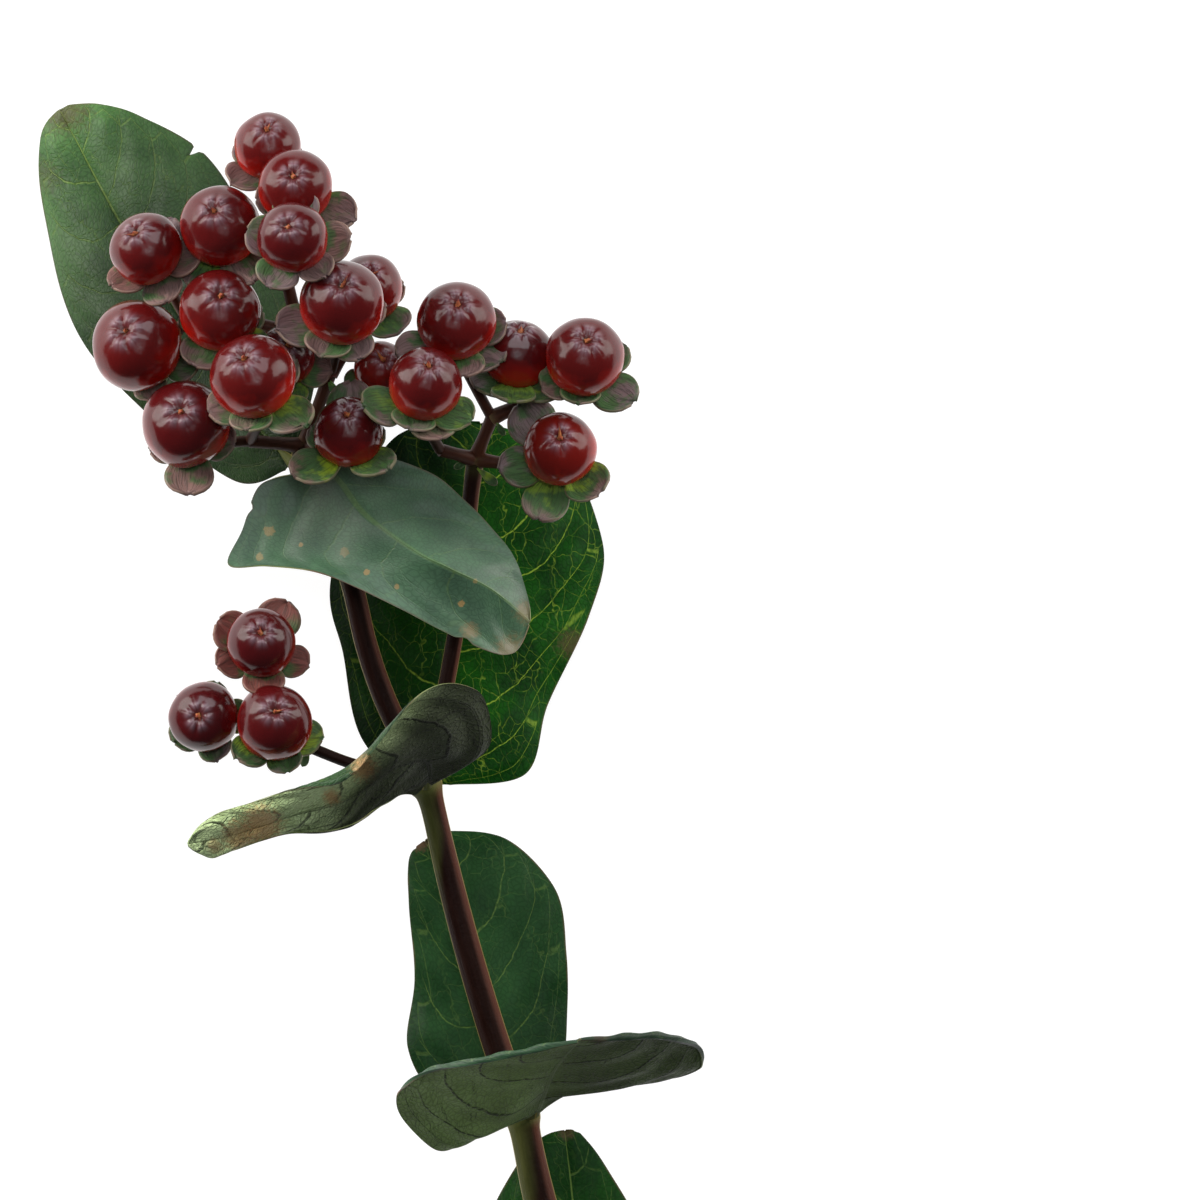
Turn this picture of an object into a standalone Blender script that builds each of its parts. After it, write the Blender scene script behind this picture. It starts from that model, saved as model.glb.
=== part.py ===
"""A cut stem of hypericum berries, lying on a surface.

The stem carries five pairs of stalkless leaves, each pair a quarter turn from the next, and
three heads of berries: one at its tip and one on each of two side shoots.
Places are in millimetres: x to the right, y towards the tip of the stem, z up from the surface.
"""

import math

import bmesh
import bpy
from mathutils import Matrix, Vector

OBJECT_NAME = "hypericum_berry_stem"

# Driving dimensions, in millimetres. A half blade narrower than ARCHED_WIDTH arches less
LEAF_THICKNESS = 0.8
ARCHED_WIDTH = 15
SEPAL_THICKNESS = 0.7
SEPAL_WIDTH = 6.4
STALK_DIAMETER = 1.4
TWIG_DIAMETER = 2.1

# Overlapping sepals lie this far apart in millimetres, and differ in tilt by these degrees
SEPAL_LAYER = 0.17
SEPAL_TILT = 2.3

# Shares of a berry's radius, measured from its middle or its axis
BERRY_HEIGHT = 0.95
DIMPLE_DEPTH = 0.13
DIMPLE_WIDTH = 0.42
LOBE_HEIGHT = 0.035
LOBE_PLACE = 0.5
LOBE_SPREAD = 0.2
SEPAL_DROP = 0.86
STALK_TOP = 0.8
STALK_BEND = 1.35

# Most of a short sepal's width, and how its blade slopes across, as shares of its length and width
SEPAL_WIDTH_SHARE = 0.8
SEPAL_SLOPE = 0.10

# A sepal's outline from root to tip: share of its length, share of its width to each side of
# its middle, and rise as a share of its length
SEPAL_OUTLINE = [
    (0.08, 0.04, 0.0), (0.40, 0.35, 0.01), (0.76, 0.50, 0.10), (1.0, 0.22, 0.20),
]

# The middle of the stem's outline on the surface, which becomes the origin
MIDDLE = (-14.5, -80.05)

# How finely curved shapes are divided
BERRY_SIDES = 10
BERRY_RINGS = 7
LEAF_STATIONS = 10
LEAF_COLUMNS = 6
RAIL_STEPS = 4
SHOOT_STEPS = 3
STEM_FINENESS = 3
SHOOT_FINENESS = 2
TWIG_FINENESS = 1
STALK_FINENESS = 0

# Places along the main stem, from its cut end to its tip: x, y, z, radius
MAIN_STEM = [
    (16.7, -226.7, 2.29, 2.4),
    (16.3, -214.7, 2.9, 2.3),
    (15.4, -206.0, 3.6, 2.3),
    (15.1, -203.0, 3.8, 2.9),
    (14.8, -200.0, 4.0, 2.25),
    (14.2, -191.5, 4.7, 2.25),
    (13.3, -182.7, 5.5, 2.25),
    (12.4, -173.0, 6.6, 2.25),
    (11.2, -161.5, 8.0, 2.25),
    (10.7, -158.7, 8.3, 2.9),
    (10.2, -156.0, 8.6, 2.2),
    (8.9, -146.5, 9.7, 2.2),
    (7.3, -136.0, 10.8, 2.2),
    (5.4, -126.5, 11.8, 2.2),
    (3.3, -116.5, 12.8, 2.2),
    (2.7, -113.7, 13.1, 2.8),
    (2.0, -111.0, 13.3, 2.15),
    (-0.5, -102.6, 14.3, 2.15),
    (-2.9, -94.7, 15.2, 2.15),
    (-5.3, -87.2, 16.0, 2.1),
    (-7.3, -80.0, 16.6, 2.1),
    (-8.8, -71.6, 17.2, 2.1),
    (-9.6, -69.0, 17.4, 2.6),
    (-10.8, -66.4, 17.6, 1.95),
    (-13.7, -59.3, 18.2, 1.9),
    (-17.3, -48.0, 19.3, 1.75),
    (-20.1, -37.3, 20.2, 1.65),
    (-22.4, -27.4, 21.0, 1.55),
    (-23.3, -24.7, 21.2, 2.1),
    (-24.5, -22.2, 21.4, 1.45),
    (-28.7, -13.3, 22.3, 1.4),
    (-31.2, -6.0, 23.1, 1.38),
    (-32.9, 1.3, 24.0, 1.35),
    (-35.2, 8.6, 25.0, 1.35),
    (-38.0, 15.4, 26.0, 1.35),
    (-38.9, 17.8, 26.4, 1.8),
    (-39.3, 19.2, 26.6, 1.7),
]
RIGHT_SHOOT = [
    (-23.3, -24.7, 21.2, 0.9),
    (-20.9, -13.3, 22.6, 1.0),
    (-18.4, 1.3, 24.2, 1.0),
    (-17.3, 13.3, 25.8, 1.0),
    (-16.8, 17.4, 26.5, 1.1),
]
LEFT_SHOOT = [
    (-23.3, -24.7, 21.2, 0.9),
    (-27.3, -23.4, 21.6, 0.8),
    (-33.3, -21.8, 22.6, 0.7),
    (-38.2, -19.9, 23.3, 0.7),
]

# Each leaf by its left edge, its midrib and its right edge, from base to tip, and how far the
# blade on either side of the midrib arches out of the flat
LEAVES = {
    "leaf_1_back": {
        "left": [(-42, 17.3, 24.4), (-48.7, 15.9, 20), (-60.7, 25.1, 14), (-70, 36, 8),
                 (-74.5, 51.3, 2.1), (-75, 62, 0.24), (-72.3, 66.1, 0.8)],
        "rib": [(-41.2, 18.4, 24.7), (-49.1, 26.7, 19.5), (-56.7, 38.7, 13), (-63.7, 49.6, 8),
                (-68.3, 58, 4), (-70.9, 62.9, 2), (-72.4, 65.6, 1.3)],
        "right": [(-40.3, 20, 24.7), (-38, 33.9, 19), (-44.9, 46.7, 12), (-52.4, 59.1, 8),
                  (-61.3, 64.7, 5), (-67.3, 66.5, 2.5), (-72, 66.3, 1.3)],
        "arch": 1.5,
    },
    "leaf_1_front": {
        "left": [(-40.5, 16.8, 28.8), (-46.3, 14.1, 29), (-49.5, 4.7, 31), (-38.4, 3.7, 35),
                 (-26.7, -1.1, 37), (-16, -6.4, 35), (-10.4, -6.7, 32)],
        "rib": [(-38.9, 17.6, 29.1), (-35.3, 16.4, 31), (-31.2, 11.3, 35), (-24.4, 6.4, 38),
                (-20.4, 4.4, 38), (-14.3, 1.3, 35.5), (-9.3, -2.9, 32)],
        "right": [(-37.6, 18.9, 29.1), (-32, 19.7, 30), (-25.3, 18.1, 29.5), (-20, 15.1, 29),
                  (-15.1, 10.4, 29.5), (-11.2, 5.1, 31), (-9.1, -1.6, 32)],
        "arch": 1.5,
    },
    "leaf_2_back": {
        "left": [(-26, -25.3, 18.3), (-32.1, -18, 16), (-34.4, -7.3, 13), (-36.1, 2, 10),
                 (-32.7, 13.3, 7), (-27.6, 21.7, 4.5), (-20, 24.2, 3)],
        "rib": [(-23.3, -24.8, 18.3), (-21.7, -16, 16), (-20.3, -6.7, 13.5), (-18.7, 2.7, 10.5),
                (-17.3, 11.3, 7.5), (-16.3, 18.7, 4.5), (-16, 23.7, 2.8)],
        "right": [(-20, -24.7, 18.4), (-10, -23.3, 15), (-7, -14, 11), (-1.6, -2.4, 6),
                  (0.4, 7.3, 2.1), (-4, 18.4, 0.14), (-11.3, 22.7, 1.1)],
        "arch": 1.2,
    },
    "leaf_2_front": {
        "left": [(-24.8, -26, 23.6), (-27.1, -26, 27), (-30.4, -28, 30), (-35.3, -30.5, 32),
                 (-42, -31.1, 31), (-48.7, -33.3, 29), (-53.3, -35.1, 27)],
        "rib": [(-23.2, -24.5, 23.9), (-23.3, -21.1, 32), (-27.3, -21.9, 36), (-34, -26.4, 36),
                (-41.3, -28.5, 34), (-48, -30.8, 31), (-54.3, -33.7, 28)],
        "right": [(-21.3, -24, 23.8), (-14.7, -19.3, 30), (-16.3, -12, 36), (-23.3, -12, 40),
                  (-32.1, -20.9, 41), (-44, -26.5, 37), (-54.3, -31.7, 30)],
        "arch": 1.0,
    },
    "leaf_3_back": {
        "left": [(-11.6, -69.6, 14), (-21.3, -66.7, 13), (-25.7, -60, 11.5), (-24.8, -50.7, 10),
                 (-25.6, -40.7, 8.5), (-25.6, -34.9, 7.5), (-24.3, -32.7, 7)],
        "rib": [(-10.4, -68.3, 14.2), (-13.3, -63.3, 13.2), (-15.5, -57.3, 12),
                (-17.1, -51.3, 11), (-18.9, -43.3, 9.5), (-21.6, -35.7, 8), (-23.5, -32.3, 7)],
        "right": [(-8.3, -67.7, 14.2), (-5.1, -62.7, 13), (-4.4, -54.7, 11), (-4.5, -47.3, 9.5),
                  (-6, -38.7, 8), (-12.7, -32, 7), (-21.3, -30.9, 6.8)],
        "arch": 1.0,
    },
    "leaf_3_front": {
        "left": [(-9.9, -69.3, 20.4), (-16.7, -71.5, 24), (-23.3, -72.7, 30), (-26.8, -68, 37),
                 (-26.7, -64, 43), (-17.3, -60.9, 50), (-5.3, -58.4, 54)],
        "rib": [(-8.8, -68.4, 20.6), (-8, -66.4, 27), (-7.2, -64.3, 34), (-6.3, -62.4, 40),
                (-5.1, -60.7, 45), (-3.7, -59.1, 50), (-2.7, -58.1, 54.5)],
        "right": [(-7.6, -67.9, 20.4), (-2.7, -65.1, 24), (6, -64.3, 30), (12.7, -62.4, 37),
                  (13.3, -59.3, 43), (8, -57.1, 50), (-1.3, -57.9, 54.5)],
        "arch": 1.0,
    },
    "leaf_4_back": {
        "left": [(0.7, -114.3, 9.4), (-8, -109.3, 9.4), (-16, -100, 9), (-17.3, -89.3, 8),
                 (-13.6, -80, 7), (-9.3, -73.3, 6.5), (-5.9, -71.1, 6)],
        "rib": [(2.3, -113.1, 9.6), (0.4, -105.3, 9.6), (-1.3, -96, 9.2), (-2.7, -88, 8.5),
                (-3.6, -80.7, 7.5), (-4.3, -74.7, 7), (-4.7, -71.1, 6)],
        "right": [(4.3, -112.9, 9.6), (9.3, -106.7, 9.6), (11.3, -97.3, 9), (8, -88, 8),
                  (3.3, -80, 7.5), (-0.5, -74, 6.8), (-3.3, -70.8, 6)],
        "arch": 1.0,
    },
    "leaf_4_front": {
        "left": [(2.9, -112, 16.2), (12, -106, 21), (22, -104, 24), (32, -108, 25),
                 (39.3, -116, 24), (42, -125.3, 21), (41.6, -132, 18)],
        "rib": [(4.3, -113.6, 16.2), (10.7, -114.9, 20), (18.7, -117.3, 23), (26.7, -121.3, 24),
                (33.3, -126, 22), (38, -130.7, 19), (40.7, -133.6, 17)],
        "right": [(4, -115.5, 16), (7.3, -124, 19), (14.7, -131.3, 21), (23.3, -134.7, 22),
                  (31.3, -135.3, 21), (37.1, -134.7, 18), (40, -134.3, 17)],
        "arch": 1.5,
    },
    "leaf_5_left": {
        "left": [(7.2, -160.3, 8.3), (0, -164.7, 8), (-10.7, -162, 6.5), (-20, -155.3, 5),
                 (-25.1, -147.3, 4), (-26, -140.7, 3), (-24, -136, 2.8)],
        "rib": [(7.3, -158.4, 8.5), (2.7, -155.3, 9), (-5.3, -151.3, 8), (-12.7, -146.7, 6.5),
                (-18, -142, 5), (-21.3, -138, 3.5), (-22.7, -135.3, 3)],
        "right": [(7.3, -156.5, 8.5), (6, -148, 8.5), (0.7, -140, 8), (-7.3, -134.7, 7),
                  (-14.7, -132, 6), (-20, -132.3, 4.5), (-22.4, -134, 3.2)],
        "arch": 1.5,
    },
    "leaf_5_right": {
        "left": [(13.7, -157.3, 8.8), (17.3, -151.3, 11), (26, -150, 13), (34.7, -152.7, 13),
                 (42, -158.7, 12), (46, -168, 9.5), (45.7, -176.7, 7)],
        "rib": [(14.1, -159.1, 8.8), (19.3, -160.7, 11), (26.7, -163.3, 12), (33.3, -166.7, 11.5),
                (38.7, -170.7, 10), (42.7, -174.9, 8), (45.1, -178, 6.5)],
        "right": [(14.1, -160.8, 8.6), (15.3, -169.3, 9.5), (22.7, -176, 10), (30.7, -179.3, 10),
                  (38, -180.7, 9), (42.7, -180, 7.5), (44.8, -178.7, 6.5)],
        "arch": 1.5,
    },
}

# Each head of berries: its forks, the stalks between them, and its berries.
# A berry is its middle, its radius, how its tip leans in x and y, the fork that carries it, and
# its five sepals, each with its turn about the berry in degrees and its length
HEADS = {
    "berries_top": {
        "forks": {
            "base": (-39.5, 20.6, 26.9), "first": (-36, 30.1, 31), "second": (-40, 35.3, 34),
            "right": (-33.1, 34.4, 30), "upper": (-42.3, 45.1, 37), "left": (-49.6, 37.9, 33),
            "far_left": (-55.2, 37.6, 31.5), "low": (-46.7, 21.2, 30),
        },
        "stalks": [
            ("base", "first"), ("first", "second"), ("first", "right"), ("second", "upper"),
            ("second", "left"), ("left", "far_left"), ("base", "low"),
        ],
        "berries": [
            ((-44.3, 60.4, 38), 4.5, (0.00, 0.56), "upper",
             ((224, 6.6), (296, 6.8), (10, 5.0), (80, 4.5), (150, 5.0))),
            ((-40.5, 54.9, 45), 4.9, (-0.05, 0.32), "upper",
             ((332, 9.0), (44, 5.0), (116, 5.0), (190, 5.5), (262, 6.5))),
            ((-40.8, 48.1, 52), 4.7, (-0.14, 0.34), "upper",
             ((90, 7.8), (168, 6.8), (240, 7.0), (312, 6.5), (8, 7.4))),
            ((-50.5, 49.7, 42), 5.3, (-0.17, 0.42), "left",
             ((302, 8.6), (14, 5.5), (86, 5.5), (160, 5.5), (236, 8.0))),
            ((-60.4, 46.7, 40), 4.8, (-0.31, 0.50), "far_left",
             ((356, 7.4), (60, 6.2), (139, 4.8), (222, 6.8), (289, 7.0))),
            ((-61.6, 33.9, 38), 6.0, (-0.30, 0.37), "far_left",
             ((350, 8.0), (62, 6.0), (134, 5.5), (206, 5.5), (278, 6.0))),
            ((-50.5, 38.4, 42), 5.4, (0.02, 0.46), "left",
             ((241, 7.2), (313, 8.0), (20, 6.0), (92, 5.0), (165, 5.5))),
            ((-34.3, 39.5, 47), 5.6, (0.00, 0.44), "first",
             ((195, 9.0), (247, 7.4), (290, 6.9), (10, 6.0), (100, 5.0))),
            ((-30.7, 41.5, 35.6), 4.5, (0.00, 0.47), "right",
             ((303, 7.2), (15, 5.0), (85, 4.8), (158, 5.0), (230, 6.0))),
            ((-46.1, 29.7, 48), 5.6, (-0.24, 0.50), "low",
             ((204, 7.4), (261, 7.2), (316, 10.0), (40, 6.5), (120, 5.0))),
            ((-55.1, 23.4, 40), 5.8, (-0.13, 0.33), "low",
             ((270, 8.8), (342, 6.5), (54, 6.0), (126, 5.5), (200, 5.8))),
            ((-41.9, 32.5, 38.5), 4.0, (0.13, 0.43), "second",
             ((350, 6.5), (62, 5.0), (134, 5.0), (206, 5.5), (278, 6.5))),
            ((-33.5, 22.4, 42), 4.7, (-0.03, 0.57), "base",
             ((217, 9.0), (310, 8.8), (88, 9.4), (20, 5.2), (150, 6.0))),
            ((-29.1, 30.8, 33.5), 3.7, (0.07, 0.39), "right",
             ((270, 6.0), (342, 5.5), (54, 4.5), (126, 4.5), (198, 5.0))),
        ],
    },
    "berries_right": {
        "forks": {
            "base": (-16.7, 18.8, 27.1), "left": (-21.3, 20, 30.5), "upper": (-14.4, 24.3, 29.5),
            "far_right": (-7.5, 27.5, 31), "right": (-10.7, 17.9, 28.5),
        },
        "stalks": [
            ("base", "left"), ("base", "upper"), ("upper", "far_right"), ("base", "right"),
        ],
        "berries": [
            ((-23.3, 28.7, 46), 4.9, (0.14, 0.54), "left",
             ((199, 8.8), (252, 6.8), (288, 7.4), (328, 7.6), (90, 5.0))),
            ((-19.1, 37.1, 40.8), 5.3, (0.05, 0.47), "upper",
             ((207, 8.6), (276, 7.8), (322, 7.6), (8, 7.0), (100, 5.2))),
            ((-10.9, 32.7, 35), 4.7, (0.06, 0.77), "far_right",
             ((215, 6.8), (263, 8.8), (318, 7.4), (40, 5.0), (130, 5.0))),
            ((-2.0, 32.4, 40), 5.2, (0.07, 0.47), "far_right",
             ((209, 6.4), (262, 6.6), (323, 8.2), (28, 6.6), (110, 5.0))),
            ((-5.3, 20.1, 36), 4.9, (0.00, 0.35), "right",
             ((195, 8.4), (130, 9.0), (251, 9.2), (314, 7.8), (50, 5.0))),
        ],
    },
    "berries_left": {
        "forks": {"base": (-38.9, -19.6, 23.5), "fork": (-45.1, -15.5, 24)},
        "stalks": [("base", "fork")],
        "berries": [
            ((-45.1, -5.7, 35), 4.5, (0.00, 0.32), "fork",
             ((61, 7.4), (150, 7.0), (203, 6.4), (274, 7.0), (341, 6.6))),
            ((-43.3, -16.3, 34), 5.1, (0.00, 0.34), "base",
             ((350, 6.4), (62, 5.0), (134, 5.4), (222, 7.0), (286, 6.2))),
            ((-52.8, -15.6, 30.5), 4.7, (-0.17, 0.06), "fork",
             ((215, 5.6), (285, 6.0), (5, 5.6), (75, 5.0), (145, 5.2))),
        ],
    },
}

MATERIALS = {
    "bark": ((0.10, 0.05, 0.03), 0.55),
    "leaf": ((0.03, 0.13, 0.03), 0.40),
    "berry": ((0.16, 0.01, 0.01), 0.22),
}


def clear_scene():
    for obj in list(bpy.data.objects):
        bpy.data.objects.remove(obj)


def new_collection(name):
    collection = bpy.data.collections.new(name)
    bpy.context.scene.collection.children.link(collection)
    return collection


def material(name, kind):
    colour, roughness = MATERIALS[kind]
    made = bpy.data.materials.new(name)
    made.use_nodes = True
    shader = made.node_tree.nodes["Principled BSDF"]
    shader.inputs["Base Color"].default_value = (*colour, 1)
    shader.inputs["Roughness"].default_value = roughness
    shader.inputs["Metallic"].default_value = 0
    return made


def metres(place):
    """A place in the part's own frame, from millimetres round the stem."""
    return Vector((place[0] - MIDDLE[0], place[1] - MIDDLE[1], place[2])) / 1000


def smooth_path(places, steps):
    """A smooth curve through the places, with that many steps from each to the next."""
    ends = [places[0], *places, places[-1]]
    path = []
    for before, start, end, after in zip(ends, ends[1:], ends[2:], ends[3:]):
        for step in range(steps):
            t = step / steps
            path.append(
                [
                    b + 0.5 * t * (c - a + t * (2 * a - 5 * b + 4 * c - d + t * (3 * (b - c) + d - a)))
                    for a, b, c, d in zip(before, start, end, after)
                ]
            )
    path.append(list(places[-1]))
    return path


def at_share(path, share):
    """The place that far along an evenly stepped path, from 0 to 1."""
    reach = share * (len(path) - 1)
    start = min(int(reach), len(path) - 2)
    return Vector(path[start]).lerp(Vector(path[start + 1]), reach - start)


def mesh_object(name, mesh, collection):
    obj = bpy.data.objects.new(name, mesh)
    collection.objects.link(obj)
    return obj


def evaluated_mesh(obj, name):
    graph = bpy.context.evaluated_depsgraph_get()
    return bpy.data.meshes.new_from_object(obj.evaluated_get(graph), depsgraph=graph)


def tube(name, path, collection, fineness):
    """A closed tube along (x, y, z, radius) places, as a mesh object."""
    curve = bpy.data.curves.new(name, "CURVE")
    curve.dimensions = "3D"
    curve.bevel_depth = 0.001
    curve.bevel_resolution = fineness
    curve.use_fill_caps = True
    spline = curve.splines.new("POLY")
    spline.points.add(len(path) - 1)
    for point, place in zip(spline.points, path):
        point.co = (*metres(place), 1)
        point.radius = place[3]
    guide = mesh_object(name + "_guide", curve, collection)
    mesh = evaluated_mesh(guide, name)
    bpy.data.objects.remove(guide)
    bm = bmesh.new()
    bm.from_mesh(mesh)
    bmesh.ops.remove_doubles(bm, verts=bm.verts, dist=1e-6)
    bm.to_mesh(mesh)
    bm.free()
    return mesh_object(name, mesh, collection)


def fuse(name, first, others, target):
    """One closed body from the first object and all in the other collection."""
    union = first.modifiers.new("Union", "BOOLEAN")
    union.operation = "UNION"
    union.operand_type = "COLLECTION"
    union.collection = others
    union.solver = "EXACT"
    mesh = evaluated_mesh(first, name)
    for obj in [first, *others.objects]:
        bpy.data.objects.remove(obj)
    bpy.data.collections.remove(others)
    mesh.materials.clear()
    return mesh_object(name, mesh, target)


def finish(obj, kind, angle=40):
    obj.data.materials.append(material(obj.name, kind))
    obj.data.shade_smooth()
    obj.data.set_sharp_from_angle(angle=math.radians(angle))


def build_stem(collection):
    """The woody stem with its two side shoots, in one body."""
    shoots = new_collection("shoots")
    main = tube("main_stem", MAIN_STEM, collection, STEM_FINENESS)
    tube("right_shoot", smooth_path(RIGHT_SHOOT, SHOOT_STEPS), shoots, SHOOT_FINENESS)
    tube("left_shoot", smooth_path(LEFT_SHOOT, SHOOT_STEPS), shoots, SHOOT_FINENESS)
    finish(fuse("stem", main, shoots, collection), "bark")


def leaf_places(leaf):
    """Rows of places over the blade, each row from the left edge over the midrib to the right."""
    rails = [smooth_path(leaf[side], RAIL_STEPS) for side in ("left", "rib", "right")]
    half_step = 0.5 / LEAF_STATIONS
    rows = []
    for station in range(LEAF_STATIONS + 1):
        share = station / LEAF_STATIONS
        left, rib, right = (at_share(rail, share) for rail in rails)
        ahead = at_share(rails[1], min(share + half_step, 1))
        ahead -= at_share(rails[1], max(share - half_step, 0))
        face = (right - left).cross(ahead).normalized()
        row = []
        for column in range(LEAF_COLUMNS + 1):
            across = 2 * column / LEAF_COLUMNS - 1
            edge = right if across > 0 else left
            reach = abs(across)
            arch = leaf["arch"] * min((edge - rib).length / ARCHED_WIDTH, 1)
            row.append(rib.lerp(edge, reach) + face * arch * 4 * reach * (1 - reach))
        rows.append(row)
    return rows


def build_leaf(name, leaf, collection):
    bm = bmesh.new()
    rows = [[bm.verts.new(metres(place)) for place in row] for row in leaf_places(leaf)]
    for row, further in zip(rows, rows[1:]):
        for a, b, c, d in zip(row, row[1:], further[1:], further):
            bm.faces.new((a, b, c))
            bm.faces.new((a, c, d))
    mesh = bpy.data.meshes.new(name)
    bm.to_mesh(mesh)
    bm.free()
    blade = mesh_object(name, mesh, collection)
    wall = blade.modifiers.new("Blade", "SOLIDIFY")
    wall.thickness = LEAF_THICKNESS / 1000
    wall.offset = 0
    finish(blade, "leaf", 60)


def berry_mesh():
    """A berry of radius 1: a squat ball with five low lobes round a dimple at its tip."""
    bm = bmesh.new()
    bmesh.ops.create_uvsphere(bm, u_segments=BERRY_SIDES, v_segments=BERRY_RINGS, radius=1)
    for vert in bm.verts:
        x, y, z = vert.co
        off_axis = math.hypot(x, y)
        z *= BERRY_HEIGHT
        if z > 0:
            turn = math.atan2(y, x)
            on_lobe = math.exp(-(((off_axis - LOBE_PLACE) / LOBE_SPREAD) ** 2))
            z -= DIMPLE_DEPTH * max(0, 1 - off_axis / DIMPLE_WIDTH)
            z += LOBE_HEIGHT * math.cos(5 * turn) * on_lobe
        vert.co = (x, y, z)
    mesh = bpy.data.meshes.new("berry")
    bm.to_mesh(mesh)
    bm.free()
    return mesh


def sepal_mesh(length):
    """A sepal in metres, rooted near the origin and reaching along +X, hollow side up."""
    width = min(SEPAL_WIDTH, SEPAL_WIDTH_SHARE * length)
    bm = bmesh.new()
    rings = []
    for along, half, rise in SEPAL_OUTLINE:
        x, y = along * length, half * width
        top = rise * length + SEPAL_SLOPE * y
        under = top - SEPAL_THICKNESS
        corners = ((x, -y, top), (x, y, top), (x, y, under), (x, -y, under))
        rings.append([bm.verts.new(Vector(corner) / 1000) for corner in corners])
    for ring, further in zip(rings, rings[1:]):
        for side in range(4):
            a, b = ring[side], ring[(side + 1) % 4]
            c, d = further[(side + 1) % 4], further[side]
            bm.faces.new((a, b, c))
            bm.faces.new((a, c, d))
    bm.faces.new(reversed(rings[0]))
    bm.faces.new(rings[-1])
    bmesh.ops.recalc_face_normals(bm, faces=bm.faces)
    mesh = bpy.data.meshes.new("sepal")
    bm.to_mesh(mesh)
    bm.free()
    return mesh


def axes_at(middle, lean):
    """A matrix that stands its +Z along the berry's axis, at a place in the part's frame."""
    axis = Vector((lean[0], lean[1], math.sqrt(1 - lean[0] ** 2 - lean[1] ** 2)))
    turn = Vector((0, 0, 1)).rotation_difference(axis).to_matrix().to_4x4()
    return Matrix.Translation(metres(middle)) @ turn, axis


def build_berry(name, berry, forks, ball_mesh, parts):
    """A berry, its ring of sepals and the stalk that carries it."""
    middle, radius, lean, fork, sepals = berry
    frame, axis = axes_at(middle, lean)
    ball = mesh_object(name, ball_mesh, parts)
    ball.matrix_world = frame @ Matrix.Scale(radius / 1000, 4)
    for number, (degrees, length) in enumerate(sepals, 1):
        layer = 2 * number % 5
        drop = Matrix.Translation((0, 0, (SEPAL_LAYER * layer - SEPAL_DROP * radius) / 1000))
        turn = Matrix.Rotation(math.radians(degrees), 4, "Z")
        tilt = Matrix.Rotation(math.radians(SEPAL_TILT * (2 - layer)), 4, "Y")
        blade = mesh_object(f"{name}_sepal_{number}", sepal_mesh(length), parts)
        blade.matrix_world = frame @ drop @ turn @ tilt
    top = Vector(middle) - axis * radius * STALK_TOP
    bend = Vector(middle) - axis * radius * STALK_BEND
    thin = STALK_DIAMETER / 2
    thick = 1.2 * thin
    path = [(*forks[fork], thin), (*bend, thin), (*top, thick)]
    tube(f"{name}_stalk", path, parts, STALK_FINENESS)


def build_head(name, head, ball_mesh, collection):
    parts = new_collection(name + "_parts")
    forks = head["forks"]
    trunk = None
    for start, end in head["stalks"]:
        places = [(*forks[start], TWIG_DIAMETER / 2), (*forks[end], STALK_DIAMETER / 2)]
        into = collection if trunk is None else parts
        piece = tube(f"{name}_{start}_{end}", places, into, TWIG_FINENESS)
        trunk = trunk or piece
    for number, berry in enumerate(head["berries"], 1):
        build_berry(f"{name}_{number}", berry, forks, ball_mesh, parts)
    finish(fuse(name, trunk, parts, collection), "berry")


def main():
    clear_scene()
    collection = new_collection(OBJECT_NAME)
    build_stem(collection)
    for name, leaf in LEAVES.items():
        build_leaf(name, leaf, collection)
    ball_mesh = berry_mesh()
    for name, head in HEADS.items():
        build_head(name, head, ball_mesh, collection)


main()
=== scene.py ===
"""The looks of a cut stem of hypericum berries that lies on a pale surface.

Places are in millimetres round the stem, as a photograph from straight above shows it: x to the
right, y up the picture towards the tip of the stem, z up from the surface. The function metres
brings them into the part's own frame.
"""

import math

import bmesh
import bpy
import numpy as np
from mathutils import Matrix, Vector


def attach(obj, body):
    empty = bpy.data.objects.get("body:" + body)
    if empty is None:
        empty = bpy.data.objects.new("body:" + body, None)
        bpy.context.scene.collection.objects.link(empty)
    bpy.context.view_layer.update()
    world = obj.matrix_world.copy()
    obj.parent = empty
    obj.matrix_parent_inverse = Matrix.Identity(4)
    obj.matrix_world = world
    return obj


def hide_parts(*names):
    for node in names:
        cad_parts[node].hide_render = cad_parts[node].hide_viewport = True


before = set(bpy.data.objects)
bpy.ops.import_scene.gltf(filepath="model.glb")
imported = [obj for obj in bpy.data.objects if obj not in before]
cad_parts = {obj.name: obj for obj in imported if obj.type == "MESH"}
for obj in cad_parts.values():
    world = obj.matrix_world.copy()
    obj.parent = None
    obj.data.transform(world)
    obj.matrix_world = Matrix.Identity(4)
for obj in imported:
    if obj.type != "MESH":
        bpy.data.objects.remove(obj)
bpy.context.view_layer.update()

MIDDLE = (-14.5, -80.05)
PHOTO_MIDDLE = (600, 600)
PHOTO_PIXELS_PER_MM = 7.5
PHOTO_WIDTH = 1200

# Real sizes, in millimetres
BLADE_THICKNESS = 0.5
SEPAL_THICKNESS = 0.36
SEPAL_LENGTH = 7
SEPAL_WIDTH = 6.4
STYLE_WIDTH = 1.3
STALK_DIAMETER = 1.4
TWIG_DIAMETER = 2.1
ARCHED_WIDTH = 15
LATERAL_SPACING = 8.0
RUNG_SPACING = 4.4

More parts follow.
